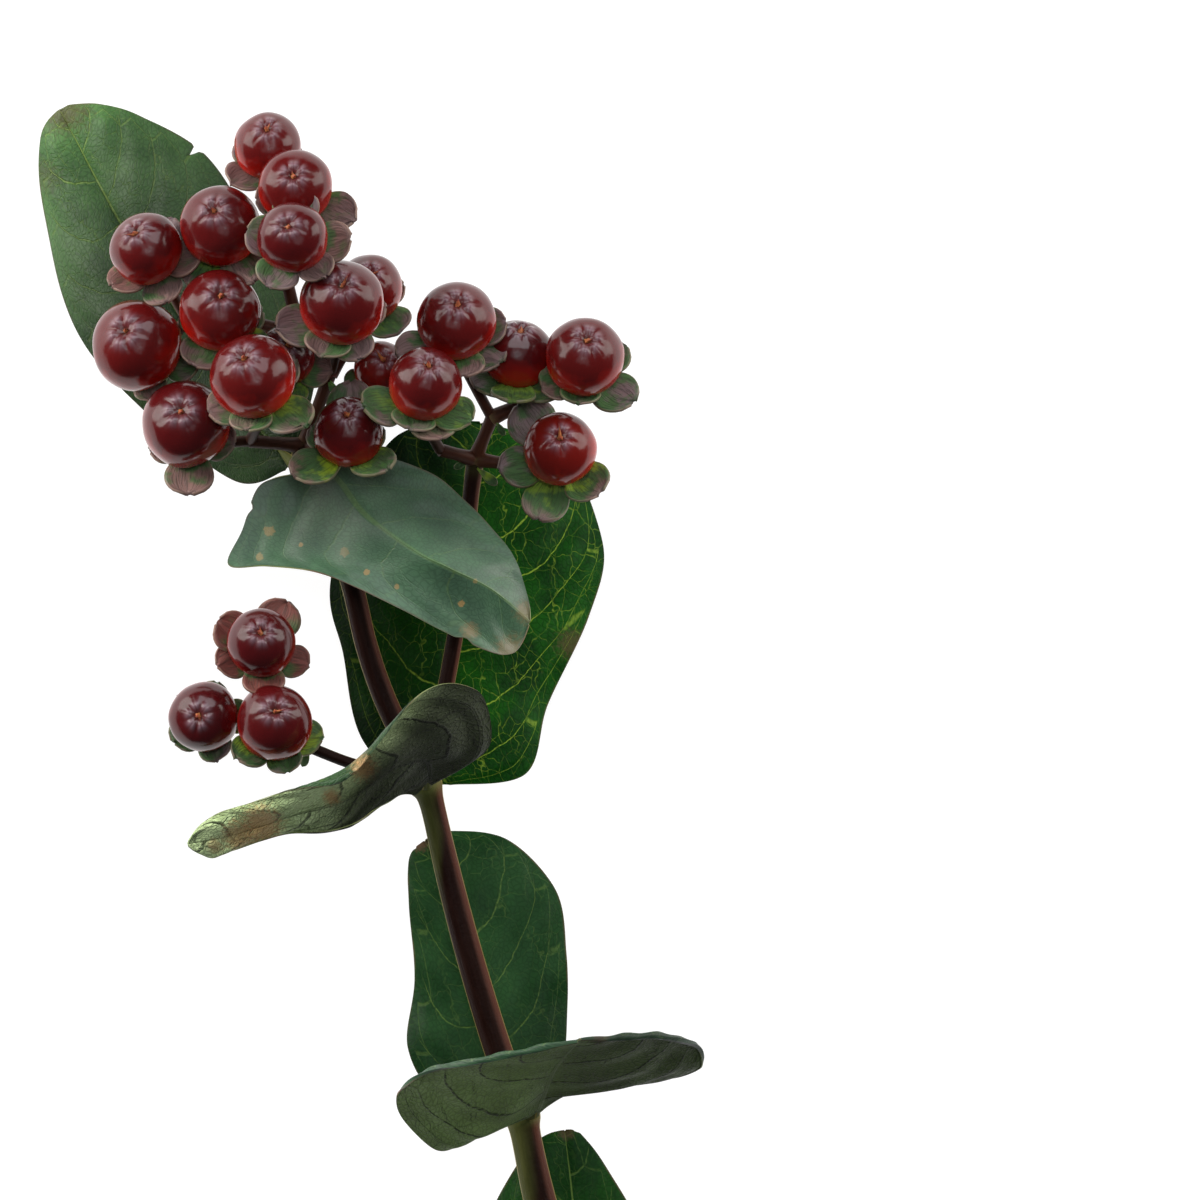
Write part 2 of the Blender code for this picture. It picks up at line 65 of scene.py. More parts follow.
# Places along the main stem, from its cut end to its tip: x, y, z, radius
MAIN_STEM = [
    (16.7, -226.7, 2.29, 2.4), (16.3, -214.7, 2.9, 2.3), (15.4, -206.0, 3.6, 2.3),
    (15.1, -203.0, 3.8, 2.9), (14.8, -200.0, 4.0, 2.25), (14.2, -191.5, 4.7, 2.25),
    (13.3, -182.7, 5.5, 2.25), (12.4, -173.0, 6.6, 2.25), (11.2, -161.5, 8.0, 2.25),
    (10.7, -158.7, 8.3, 2.9), (10.2, -156.0, 8.6, 2.2), (8.9, -146.5, 9.7, 2.2),
    (7.3, -136.0, 10.8, 2.2), (5.4, -126.5, 11.8, 2.2), (3.3, -116.5, 12.8, 2.2),
    (2.7, -113.7, 13.1, 2.8), (2.0, -111.0, 13.3, 2.15), (-0.5, -102.6, 14.3, 2.15),
    (-3.2, -94.7, 15.2, 2.12), (-5.9, -87.2, 16.0, 2.08), (-8.1, -80.0, 16.6, 2.0),
    (-9.9, -71.6, 17.2, 1.85), (-10.4, -69.0, 17.4, 2.25), (-11.3, -66.4, 17.6, 1.8),
    (-13.9, -59.3, 18.2, 1.74), (-17.3, -48.0, 19.3, 1.68), (-20.1, -37.3, 20.2, 1.6),
    (-22.4, -27.4, 21.0, 1.52), (-23.3, -24.7, 21.2, 2.1), (-24.5, -22.2, 21.4, 1.45),
    (-28.7, -13.3, 22.3, 1.4), (-31.2, -6.0, 23.1, 1.38), (-32.9, 1.3, 24.0, 1.35),
    (-35.2, 8.6, 25.0, 1.35), (-38.0, 15.4, 26.0, 1.35), (-38.9, 17.8, 26.4, 1.8),
    (-39.3, 19.2, 26.6, 1.7),
]
STEM_NODES = (17.8, -24.7, -69.0, -113.7, -158.7, -203.0)
RIGHT_SHOOT = [
    (-23.3, -24.7, 21.2, 0.9), (-20.9, -13.3, 22.6, 1.0), (-18.4, 1.3, 24.2, 1.0),
    (-17.3, 13.3, 25.8, 1.0), (-16.8, 17.4, 26.5, 1.1),
]
LEFT_SHOOT = [
    (-23.3, -24.7, 21.2, 0.9), (-27.3, -23.4, 21.6, 0.8), (-33.3, -21.8, 22.6, 0.7),
    (-38.2, -19.9, 23.3, 0.7),
]

# Each leaf by its left edge, its midrib and its right edge, from base to tip, how far the blade
# on either side of the midrib arches out of the flat, and which of its faces is the upper one
LEAVES = {
    "leaf_1_back": {
        "left": [(-42, 17.3, 24.4), (-48.7, 15.9, 20), (-60.7, 25.1, 14), (-70, 36, 8),
                 (-74.5, 51.3, 2.1), (-75, 62, 0.24), (-72.3, 66.1, 0.8)],
        "rib": [(-41.2, 18.4, 24.7), (-49.1, 26.7, 19.5), (-56.7, 38.7, 13), (-63.7, 49.6, 8),
                (-68.3, 58, 4), (-70.9, 62.9, 2), (-72.4, 65.6, 1.3)],
        "right": [(-40.3, 20, 24.7), (-38, 33.9, 19), (-44.9, 46.7, 12), (-52.4, 59.1, 8),
                  (-61.3, 64.7, 5), (-67.3, 66.5, 2.5), (-72, 66.3, 1.3)],
        "arch": 1.5, "upper": 1,
    },
    "leaf_1_front": {
        "left": [(-40.5, 16.8, 28.8), (-43.6, 16.2, 28.6), (-45.8, 14.6, 28.7), (-47.7, 9.5, 29.5),
                 (-49.6, 4.8, 31), (-44.5, 4.7, 33), (-38.4, 3.7, 35), (-32.6, 1.7, 36.4),
                 (-26.7, -1.1, 37), (-21.3, -3.9, 36.3), (-16, -6.4, 35), (-12.9, -7.3, 33.6),
                 (-10.4, -6.7, 32)],
        "rib": [(-38.9, 17.6, 29.1), (-35.3, 16.4, 31), (-31.2, 11.3, 35), (-24.4, 6.4, 38),
                (-20.4, 4.4, 38), (-14.3, 1.3, 35.5), (-9.3, -2.9, 32)],
        "right": [(-37.6, 18.9, 29.1), (-32, 19.7, 30), (-25.3, 18.1, 29.5), (-20, 15.1, 29),
                  (-15.1, 10.4, 29.5), (-11.2, 5.1, 31), (-9.1, -1.6, 32)],
        "arch": 1.5, "upper": -1,
    },
    "leaf_2_back": {
        "left": [(-26, -25.3, 18.3), (-32.1, -18, 16), (-34.4, -7.3, 13), (-36.1, 2, 10),
                 (-32.7, 13.3, 7), (-27.6, 21.7, 4.5), (-20, 24.2, 3)],
        "rib": [(-23.3, -24.8, 18.3), (-21.7, -16, 16), (-20.3, -6.7, 13.5), (-18.7, 2.7, 10.5),
                (-17.3, 11.3, 7.5), (-16.3, 18.7, 4.5), (-16, 23.7, 2.8)],
        "right": [(-20, -24.7, 18.4), (-10, -23.3, 15), (-7, -14, 11), (-1.6, -2.4, 6),
                  (0.4, 7.3, 2.1), (-4, 18.4, 0.14), (-11.3, 22.7, 1.1)],
        "arch": 1.2, "upper": 1,
    },
    "leaf_2_front": {
        "left": [(-24.8, -26, 23.6), (-27.1, -26, 27), (-30.4, -28, 30), (-35.3, -30.5, 32),
                 (-42, -31.1, 31), (-48.7, -33.3, 29), (-52.6, -35.0, 27)],
        "rib": [(-23.2, -24.5, 23.9), (-23.3, -21.1, 32), (-27.3, -21.9, 36), (-34, -26.4, 36),
                (-41.3, -28.5, 34), (-48, -30.8, 31), (-55.0, -32.4, 28)],
        "right": [(-21.3, -24, 23.8), (-14.7, -19.3, 30), (-16.3, -12, 36), (-23.3, -12, 40),
                  (-32.1, -20.9, 41), (-44, -26.1, 37), (-53.2, -28.9, 31)],
        "arch": 1.0, "upper": -1, "blunt": 0.085,
    },
    "leaf_3_back": {
        "left": [(-11.6, -69.6, 14), (-21.3, -66.7, 13), (-25.7, -60, 11.5), (-24.8, -50.7, 10),
                 (-25.6, -40.7, 8.5), (-25.6, -34.9, 7.5), (-24.3, -32.7, 7)],
        "rib": [(-10.4, -68.3, 14.2), (-13.3, -63.3, 13.2), (-15.5, -57.3, 12),
                (-17.1, -51.3, 11), (-18.9, -43.3, 9.5), (-21.6, -35.7, 8), (-23.5, -32.3, 7)],
        "right": [(-8.3, -67.7, 14.2), (-5.1, -62.7, 13), (-4.4, -54.7, 11), (-4.5, -47.3, 9.5),
                  (-6, -38.7, 8), (-12.7, -32, 7), (-21.3, -30.9, 6.8)],
        "arch": 1.0, "upper": 1,
    },
    "leaf_3_front": {
        "left": [(-9.9, -69.3, 20.4), (-15.9, -71.3, 24), (-22.2, -73.0, 30), (-27.0, -67.8, 37),
                 (-25.3, -63.1, 43), (-16.6, -60.6, 50), (-5.3, -58.4, 54)],
        "rib": [(-8.8, -68.4, 20.6), (-8, -66.4, 27), (-7.2, -64.3, 34), (-6.3, -62.4, 40),
                (-5.1, -60.7, 45), (-3.7, -59.1, 50), (-2.7, -58.1, 54.5)],
        "right": [(-7.6, -67.9, 20.4), (-2.7, -65.1, 24), (6, -64.3, 30), (12.7, -62.4, 37),
                  (13.3, -59.3, 43), (8, -57.1, 50), (-1.3, -57.9, 54.5)],
        "arch": 1.0, "upper": -1,
    },
    "leaf_4_back": {
        "left": [(0.7, -114.3, 9.4), (-8, -109.3, 9.4), (-16, -100, 9), (-17.3, -89.3, 8),
                 (-13.6, -80, 7), (-9.3, -73.3, 6.5), (-5.9, -71.1, 6)],
        "rib": [(2.3, -113.1, 9.6), (0.4, -105.3, 9.6), (-1.3, -96, 9.2), (-2.7, -88, 8.5),
                (-3.6, -80.7, 7.5), (-4.3, -74.7, 7), (-4.7, -71.1, 6)],
        "right": [(4.3, -112.9, 9.6), (9.3, -106.7, 9.6), (11.3, -97.3, 9), (8, -88, 8),
                  (3.3, -80, 7.5), (-0.5, -74, 6.8), (-3.3, -70.8, 6)],
        "arch": 1.0, "upper": 1,
    },
    "leaf_4_front": {
        "left": [(2.9, -112, 16.2), (12, -106, 21), (22, -104, 24), (32, -108, 25),
                 (39.3, -116, 24), (42, -125.3, 21), (41.6, -132, 18)],
        "rib": [(4.3, -113.6, 16.2), (10.7, -114.9, 20), (18.7, -117.3, 23), (26.7, -121.3, 24),
                (33.3, -126, 22), (38, -130.7, 19), (40.7, -133.6, 17)],
        "right": [(4, -115.5, 16), (7.3, -124, 19), (14.7, -131.3, 21), (23.3, -134.7, 22),
                  (31.3, -135.3, 21), (37.1, -134.7, 18), (40, -134.3, 17)],
        "arch": 1.5, "upper": 1,
    },
    "leaf_5_left": {
        "left": [(7.2, -160.3, 8.3), (0, -164.7, 8), (-10.7, -162, 6.5), (-20, -155.3, 5),
                 (-25.1, -147.3, 4), (-26, -140.7, 3), (-24, -136, 2.8)],
        "rib": [(7.3, -158.4, 8.5), (2.7, -155.3, 9), (-5.3, -151.3, 8), (-12.7, -146.7, 6.5),
                (-18, -142, 5), (-21.3, -138, 3.5), (-22.7, -135.3, 3)],
        "right": [(7.3, -156.5, 8.5), (6, -148, 8.5), (0.7, -140, 8), (-7.3, -134.7, 7),
                  (-14.7, -132, 6), (-20, -132.3, 4.5), (-22.4, -134, 3.2)],
        "arch": 1.5, "upper": 1,
    },
    "leaf_5_right": {
        "left": [(13.7, -157.3, 8.8), (17.3, -151.3, 11), (26, -150, 13), (34.7, -152.7, 13),
                 (42, -158.7, 12), (46, -168, 9.5), (45.7, -176.7, 7)],
        "rib": [(14.1, -159.1, 8.8), (19.3, -160.7, 11), (26.7, -163.3, 12), (33.3, -166.7, 11.5),
                (38.7, -170.7, 10), (42.7, -174.9, 8), (45.1, -178, 6.5)],
        "right": [(14.1, -160.8, 8.6), (15.3, -169.3, 9.5), (22.7, -176, 10), (30.7, -179.3, 10),
                  (38, -180.7, 9), (42.7, -180, 7.5), (44.8, -178.7, 6.5)],
        "arch": 1.5, "upper": 1,
    },
}

# Each head of berries: its forks, the stalks between them, and its berries. A berry is its
# middle, its radius, how its tip leans in x and y, the fork that carries it, its five sepals,
# each with its turn about the berry in degrees and its length, how red the berry is and how
# purple its sepals are, both from 0 to 1
HEADS = {
    "berries_top": {
        "forks": {
            "base": (-39.5, 20.6, 26.9), "first": (-36, 30.1, 31), "second": (-40, 35.3, 34),
            "right": (-33.1, 34.4, 30), "upper": (-42.3, 45.1, 37), "left": (-49.6, 37.9, 33),
            "far_left": (-55.2, 37.6, 31.5), "low": (-46.7, 21.2, 30),
        },
        "stalks": [
            ("base", "first"), ("first", "second"), ("first", "right"), ("second", "upper"),
            ("second", "left"), ("left", "far_left"), ("base", "low"),
        ],
        "bracts": [
            ((-40.3, 20.2, 27.2), 160, 3.6), ((-38.6, 20.4, 27.2), 10, 3.2), ((-36.4, 29.6, 31.4), 300, 2.6),
            ((-42.0, 44.6, 37.4), 20, 2.4), ((-49.2, 37.4, 33.4), 260, 2.6),
        ],
        "berries": [
            ((-44.3, 60.4, 38), 4.5, (0.00, 0.56), "upper",
             ((224, 6.6), (296, 6.8), (10, 5.0), (80, 4.5), (150, 5.0)), 0.3, 0.8),
            ((-40.5, 54.9, 45), 4.9, (-0.05, 0.32), "upper",
             ((332, 9.0), (44, 5.0), (116, 5.0), (190, 5.5), (262, 6.5)), 0.3, 0.8),
            ((-40.8, 48.1, 52), 4.7, (-0.14, 0.34), "upper",
             ((90, 7.8), (168, 6.8), (240, 7.0), (312, 6.5), (8, 7.4)), 0.1, 0.8),
            ((-50.5, 49.7, 42), 5.3, (-0.17, 0.42), "left",
             ((302, 8.6), (14, 5.5), (86, 5.5), (160, 5.5), (236, 8.0)), 0.2, 0.6),
            ((-60.4, 46.7, 40), 4.8, (-0.31, 0.50), "far_left",
             ((356, 7.4), (60, 6.2), (139, 4.8), (222, 6.8), (289, 7.0)), 0.2, 0.9),
            ((-61.6, 33.9, 38), 6.0, (-0.30, 0.37), "far_left",
             ((350, 8.0), (62, 6.0), (134, 5.5), (206, 5.5), (278, 6.0)), 0.3, 0.5),
            ((-50.5, 38.4, 42), 5.4, (0.02, 0.46), "left",
             ((241, 7.2), (313, 8.0), (20, 6.0), (92, 5.0), (165, 5.5)), 0.3, 0.5),
            ((-34.3, 39.5, 47), 5.6, (0.00, 0.44), "first",
             ((195, 9.0), (247, 7.4), (290, 6.9), (10, 6.0), (100, 5.0)), 0.2, 0.6),
            ((-30.7, 41.5, 35.6), 4.5, (0.00, 0.47), "right",
             ((303, 7.2), (15, 5.0), (85, 4.8), (158, 5.0), (230, 6.0)), 0.3, 0.6),
            ((-46.1, 29.7, 48), 5.6, (-0.24, 0.50), "low",
             ((204, 7.4), (261, 7.2), (316, 10.0), (40, 6.5), (120, 5.0)), 0.3, 0.45),
            ((-55.1, 23.4, 40), 5.8, (-0.13, 0.33), "low",
             ((270, 8.8), (342, 6.5), (54, 6.0), (126, 5.5), (200, 5.8)), 0.1, 0.85),
            ((-41.9, 32.5, 38.5), 4.0, (0.13, 0.43), "second",
             ((350, 6.5), (62, 5.0), (134, 5.0), (206, 5.5), (278, 6.5)), 0.0, 0.5),
            ((-33.5, 22.4, 42), 4.7, (-0.03, 0.57), "base",
             ((217, 9.0), (310, 8.8), (88, 9.4), (20, 5.2), (150, 6.0)), 0.1, 0.35),
            ((-29.1, 30.8, 33.5), 3.7, (0.07, 0.39), "right",
             ((270, 6.0), (342, 5.5), (54, 4.5), (126, 4.5), (198, 5.0)), 0.7, 0.4),
        ],
    },
    "berries_right": {
        "forks": {
            "base": (-16.7, 18.8, 27.1), "left": (-21.3, 20, 30.5), "upper": (-14.4, 24.3, 29.5),
            "far_right": (-7.5, 27.5, 31), "right": (-10.7, 17.9, 28.5),
        },
        "stalks": [
            ("base", "left"), ("base", "upper"), ("upper", "far_right"), ("base", "right"),
        ],
        "bracts": [
            ((-16.4, 17.6, 27.6), 320, 3.4), ((-17.4, 18.4, 27.4), 200, 2.2), ((-14.0, 24.0, 30.0), 300, 2.4),
        ],
        "berries": [
            ((-23.3, 28.7, 46), 4.9, (0.14, 0.54), "left",
             ((199, 8.8), (252, 6.8), (288, 7.4), (328, 7.6), (90, 5.0)), 0.2, 0.3),
            ((-19.1, 37.1, 40.8), 5.3, (0.05, 0.47), "upper",
             ((207, 8.6), (276, 7.8), (322, 7.6), (8, 7.0), (100, 5.2)), 0.3, 0.7),
            ((-10.9, 32.7, 35), 4.7, (0.06, 0.77), "far_right",
             ((215, 6.8), (263, 8.8), (318, 7.4), (40, 5.0), (130, 5.0)), 0.1, 0.2),
            ((-2.0, 32.4, 40), 5.2, (0.07, 0.47), "far_right",
             ((209, 6.4), (262, 6.6), (323, 8.2), (28, 6.6), (110, 5.0)), 0.3, 0.35),
            ((-5.3, 20.1, 36), 4.9, (0.00, 0.35), "right",
             ((195, 8.4), (130, 9.0), (251, 9.2), (314, 7.8), (50, 5.0)), 0.8, 0.5),
        ],
    },
    "berries_left": {
        "forks": {"base": (-38.9, -19.6, 23.5), "fork": (-45.1, -15.5, 24)},
        "stalks": [("base", "fork")],
        "bracts": [((-38.8, -19.9, 24.0), 250, 2.4), ((-45.3, -15.9, 24.4), 230, 2.2)],
        "berries": [
            ((-45.1, -5.7, 35), 4.5, (0.00, 0.32), "fork",
             ((61, 7.4), (150, 7.0), (203, 6.4), (274, 7.0), (341, 6.6)), 0.0, 1.0),
            ((-43.3, -16.3, 34), 5.1, (0.00, 0.34), "base",
             ((350, 6.4), (62, 5.0), (134, 5.4), (222, 7.0), (286, 6.2)), 0.1, 0.2),
            ((-52.8, -15.6, 30.5), 4.7, (-0.17, 0.06), "fork",
             ((215, 5.6), (285, 6.0), (5, 5.6), (75, 5.0), (145, 5.2)), 0.0, 0.2),
        ],
    },
}


def metres(place):
    """A place in the part's own frame, from millimetres round the stem."""
    return Vector((place[0] - MIDDLE[0], place[1] - MIDDLE[1], place[2])) / 1000


def from_photo(column, row):
    """Millimetres round the stem, from a pixel of the photograph."""
    return (
        (column - PHOTO_MIDDLE[0]) / PHOTO_PIXELS_PER_MM,
        (PHOTO_MIDDLE[1] - row) / PHOTO_PIXELS_PER_MM,
        0,
    )


def smooth_path(places, steps):
    """A smooth curve through the places, with that many steps from each to the next."""
    ends = [places[0], *places, places[-1]]
    path = []
    for before, start, end, after in zip(ends, ends[1:], ends[2:], ends[3:]):
        for step in range(steps):
            t = step / steps
            path.append(
                [
                    b + 0.5 * t * (c - a + t * (2 * a - 5 * b + 4 * c - d + t * (3 * (b - c) + d - a)))
                    for a, b, c, d in zip(before, start, end, after)
                ]
            )
    path.append(list(places[-1]))
    return path


def bell(away, width):
    """1 where the distance is nothing, and falling smoothly to both sides of it."""
    return np.exp(-((away / width) ** 2))


def new_object(name, mesh):
    obj = bpy.data.objects.new(name, mesh)
    bpy.context.scene.collection.objects.link(obj)
    return obj


def applied(obj):
    """The object's mesh with its modifiers applied, in a new object that takes its name."""
    graph = bpy.context.evaluated_depsgraph_get()
    mesh = bpy.data.meshes.new_from_object(
        obj.evaluated_get(graph), preserve_all_data_layers=True, depsgraph=graph
    )
    name = obj.name
    bpy.data.objects.remove(obj)
    return new_object(name, mesh)


def attribute(mesh, name, kind, values):
    """Stores one value or vector for each vertex."""
    layer = mesh.attributes.new(name, kind, "POINT")
    field = "vector" if kind == "FLOAT_VECTOR" else "value"
    layer.data.foreach_set(field, np.asarray(values, np.float32).ravel())


# Node trees


def feed(tree, socket, value):
    """Sets a socket to a number or a colour, or links another socket to it."""
    if isinstance(value, bpy.types.NodeSocket):
        tree.links.new(value, socket)
    elif socket.type == "RGBA" and len(value) == 3:
        socket.default_value = (*value, 1)
    else:
        socket.default_value = value


def node(tree, kind, inputs, **settings):
    made = tree.nodes.new(kind)
    for name, setting in settings.items():
        setattr(made, name, setting)
    for name, value in inputs.items():
        feed(tree, made.inputs[name], value)
    return made


def maths(tree, operation, *values):
    return node(tree, "ShaderNodeMath", dict(enumerate(values)), operation=operation).outputs[0]


def times(tree, first, second):
    return maths(tree, "MULTIPLY", first, second)


def plus(tree, first, second):
    return maths(tree, "ADD", first, second)


def minus(tree, first, second):
    return maths(tree, "SUBTRACT", first, second)


def larger(tree, first, second):
    return maths(tree, "MAXIMUM", first, second)


def vector_maths(tree, operation, *values):
    made = node(tree, "ShaderNodeVectorMath", dict(enumerate(values)), operation=operation)
    return made.outputs["Value" if operation in ("LENGTH", "DISTANCE") else "Vector"]


def scaled(tree, vector, factor):
    """A vector or a colour times a number."""
    return node(tree, "ShaderNodeVectorMath", {0: vector, "Scale": factor}, operation="SCALE").outputs[0]


def ramp(tree, value, start, end, low=0.0, high=1.0):
    """Runs smoothly from low to high while the value goes from start to end."""
    inputs = {0: value, 1: start, 2: end, 3: low, 4: high}
    return node(tree, "ShaderNodeMapRange", inputs, interpolation_type="SMOOTHSTEP").outputs[0]


def mixed(tree, share, first, second):
    """The first colour, turning into the second as the share goes from 0 to 1."""
    inputs = {"Factor": share, 6: first, 7: second}
    return node(tree, "ShaderNodeMix", inputs, data_type="RGBA").outputs[2]


def noise(tree, place, scale, detail=2.0, roughness=0.5, kind="3D"):
    inputs = {"Vector": place, "Scale": scale, "Detail": detail, "Roughness": roughness}
    return node(tree, "ShaderNodeTexNoise", inputs, noise_dimensions=kind).outputs["Fac"]


def separate(tree, vector):
    return node(tree, "ShaderNodeSeparateXYZ", {0: vector}).outputs


def joined(tree, x, y, z):
    return node(tree, "ShaderNodeCombineXYZ", {0: x, 1: y, 2: z}).outputs[0]


def stored(tree, name):
    """What a mesh stores under this name: "Vector" reads a vector and "Fac" a number."""
    return node(tree, "ShaderNodeAttribute", {}, attribute_name=name).outputs


def object_place(tree):
    return node(tree, "ShaderNodeTexCoord", {}).outputs["Object"]


def shader_group(name, inputs, outputs):
    """An empty shader group with these inputs, by name and default, and these value outputs."""
    tree = bpy.data.node_groups.new(name, "ShaderNodeTree")
    for title, default in inputs.items():
        kind = "NodeSocketVector" if default is None else "NodeSocketFloat"
        socket = tree.interface.new_socket(title, in_out="INPUT", socket_type=kind)
        if default is not None:
            socket.default_value = default
    for title in outputs:
        tree.interface.new_socket(title, in_out="OUTPUT", socket_type="NodeSocketFloat")
    return tree, tree.nodes.new("NodeGroupInput").outputs, tree.nodes.new("NodeGroupOutput").inputs


def place_group(tree, group, inputs):
    """A shader group in a tree, with its inputs set by name. Gives back its outputs."""
    made = tree.nodes.new("ShaderNodeGroup")
    made.node_tree = group
    for name, value in inputs.items():
        feed(tree, made.inputs[name], value)
    return made.outputs


def new_material(name, colour, **settings):
    """A material, its tree and its shader. Names of the settings are those of the sockets."""
    made = bpy.data.materials.new(name)
    made.use_nodes = True
    tree = made.node_tree
    shader = tree.nodes["Principled BSDF"]
    made.diffuse_color = (*colour, 1)
    for title, value in settings.items():
        shader.inputs[title.replace("_", " ")].default_value = value
    return made, tree, shader


def bump(tree, height, depth):
    """A normal that follows a height, of which one stands for this depth in millimetres."""
    inputs = {"Strength": 1.0, "Distance": depth / 1000, "Height": height}
    return node(tree, "ShaderNodeBump", inputs).outputs[0]


def dress(tree, shader, colour, normal=None, roughness=None):
    """Feeds a shader its colour and, where they are given, its normal and its roughness."""
    for title, value in (("Base Color", colour), ("Normal", normal), ("Roughness", roughness)):
        if value is not None:
            feed(tree, shader.inputs[title], value)


# Shader groups that several materials use


def build_mottle_group():
    """Soft blotches and a finer grain, from 0 to 1, at two scales given in millimetres."""
    tree, entry, leave = shader_group(
        "Mottle", {"Place": None, "Blotch": 12.0, "Grain": 0.8}, ("Blotches", "Grains")
    )
    blotch = noise(tree, entry["Place"], maths(tree, "DIVIDE", 1000, entry["Blotch"]), 3, 0.6)
    grain = noise(tree, entry["Place"], maths(tree, "DIVIDE", 1000, entry["Grain"]), 2, 0.6)
    feed(tree, leave["Blotches"], ramp(tree, blotch, 0.35, 0.65))
    feed(tree, leave["Grains"], grain)
    return tree


def mottled(tree, place, blotch, grain):
    return place_group(tree, mottle_group, {"Place": place, "Blotch": blotch, "Grain": grain})


def build_blot_group():
    """A ragged spot round a centre, seen from straight above: 1 inside it and 0 outside."""
    tree, entry, leave = shader_group(
        "Blot", {"Place": None, "Centre": None, "Size": 0.002, "Wobble": 0.0, "Soft": 0.2}, ("Spot",)
    )
    flat = vector_maths(tree, "MULTIPLY", entry["Place"], (1, 1, 0))
    away = vector_maths(tree, "DISTANCE", flat, entry["Centre"])
    reach = plus(tree, maths(tree, "DIVIDE", away, entry["Size"]), entry["Wobble"])
    outer = plus(tree, 1.0, entry["Soft"])
    inner = minus(tree, 1.0, entry["Soft"])
    feed(tree, leave["Spot"], ramp(tree, reach, outer, inner))
    return tree


def line_mask(tree, away, width):
    """1 on a line and 0 off it, from the distance to its middle and half its width."""
    return ramp(tree, away, 0.5 * width, 1.7 * width, 1.0, 0.0)


def wander(tree, place, scale):
    """A soft drift to all sides, from -0.5 to 0.5, over a flat place."""
    inputs = {"Vector": place, "Scale": scale, "Detail": 1.0}
    made = node(tree, "ShaderNodeTexNoise", inputs, noise_dimensions="2D")
    return vector_maths(tree, "SUBTRACT", made.outputs["Color"], (0.5, 0.5, 0.5))


def cell_edges(tree, place, scale, randomness):
    """The distance to the nearest edge of a net of cells."""
    inputs = {"Vector": place, "Scale": scale, "Randomness": randomness}
    settings = {"feature": "DISTANCE_TO_EDGE", "voronoi_dimensions": "2D"}
    return node(tree, "ShaderNodeTexVoronoi", inputs, **settings).outputs["Distance"]


def build_vein_group():
    """The veins of a blade, from its stored places.

    Blade holds millimetres along the midrib, millimetres off it, and a count of side veins, of
    which each passes a whole number and a half on its vein. Spot holds the distance from the
    margin in millimetres, the share of the length and the share of the width.
    """
    tree, entry, leave = shader_group(
        "Leaf veins", {"Blade": None, "Spot": None, "Seed": 0.0, "Width": 1.0},
        ("Rib", "Side", "Cross", "Net"),
    )
    _, off, count = separate(tree, entry["Blade"])
    margin, share, reach = separate(tree, entry["Spot"])
    seeded = vector_maths(tree, "ADD", entry["Blade"], joined(tree, entry["Seed"], entry["Seed"], 0))
    flat = vector_maths(tree, "MULTIPLY", seeded, (1, 1, 0))
    drift, shake = wander(tree, flat, 0.13), wander(tree, flat, 0.7)
    warped = vector_maths(tree, "ADD", flat, vector_maths(tree, "MULTIPLY", drift, (2.6, 2.6, 0)))
    warped = vector_maths(tree, "ADD", warped, vector_maths(tree, "MULTIPLY", shake, (0.7, 0.7, 0)))
    broken = ramp(tree, noise(tree, flat, 1.7, 0, kind="2D"), 0.30, 0.52, 0.45, 1.0)
    patchy = ramp(tree, noise(tree, flat, 0.22, 0, kind="2D"), 0.38, 0.60, 0.35, 1.0)

    rib_width = ramp(tree, share, 0.0, 1.0, 0.34, 0.10)
    rib = maths(tree, "DIVIDE", maths(tree, "ABSOLUTE", off), rib_width)
    feed(tree, leave["Rib"], ramp(tree, rib, 0.8, 1.5, 1.0, 0.0))
    bent = times(tree, separate(tree, drift)[0], 0.34)
    bent = plus(tree, bent, times(tree, separate(tree, shake)[1], 0.07))
    moved = plus(tree, count, bent)
    passed = maths(tree, "FRACT", moved)
    away = maths(tree, "ABSOLUTE", minus(tree, passed, 0.5))
    inside = ramp(tree, reach, 0.78, 0.90, 1.0, 0.0)
    side = maths(tree, "DIVIDE", times(tree, away, LATERAL_SPACING), entry["Width"])
    side = line_mask(tree, side, 0.12)
    side = times(tree, side, inside)
    loop = times(tree, minus(tree, 0.5, away), 3.4)
    loop = minus(tree, plus(tree, loop, 0.9), margin)
    loop = line_mask(tree, maths(tree, "ABSOLUTE", loop), 0.10)
    side = larger(tree, side, times(tree, loop, 0.55))
    feed(tree, leave["Side"], times(tree, side, broken))

    strip = maths(tree, "FLOOR", plus(tree, moved, 0.5))
    chance = {"W": plus(tree, strip, entry["Seed"])}
    chance = node(tree, "ShaderNodeTexWhiteNoise", chance, noise_dimensions="1D").outputs["Value"]
    rung = plus(tree, maths(tree, "DIVIDE", off, RUNG_SPACING), chance)
    rung = plus(tree, rung, times(tree, separate(tree, shake)[0], 0.45))
    rung = plus(tree, rung, times(tree, moved, 0.35))
    rung = maths(tree, "ABSOLUTE", minus(tree, maths(tree, "FRACT", rung), 0.5))
    rung = line_mask(tree, times(tree, rung, RUNG_SPACING), 0.08)
    cross = ramp(tree, cell_edges(tree, warped, 0.48, 1.0), 0.010, 0.036, 0.75, 0.0)
    cross = larger(tree, cross, times(tree, rung, inside))
    feed(tree, leave["Cross"], times(tree, times(tree, cross, broken), patchy))
    feed(tree, leave["Net"], ramp(tree, cell_edges(tree, warped, 1.5, 0.9), 0.03, 0.22, 1.0, 0.0))
    return tree


mottle_group = build_mottle_group()
blot_group = build_blot_group()
vein_group = build_vein_group()


# Leaves

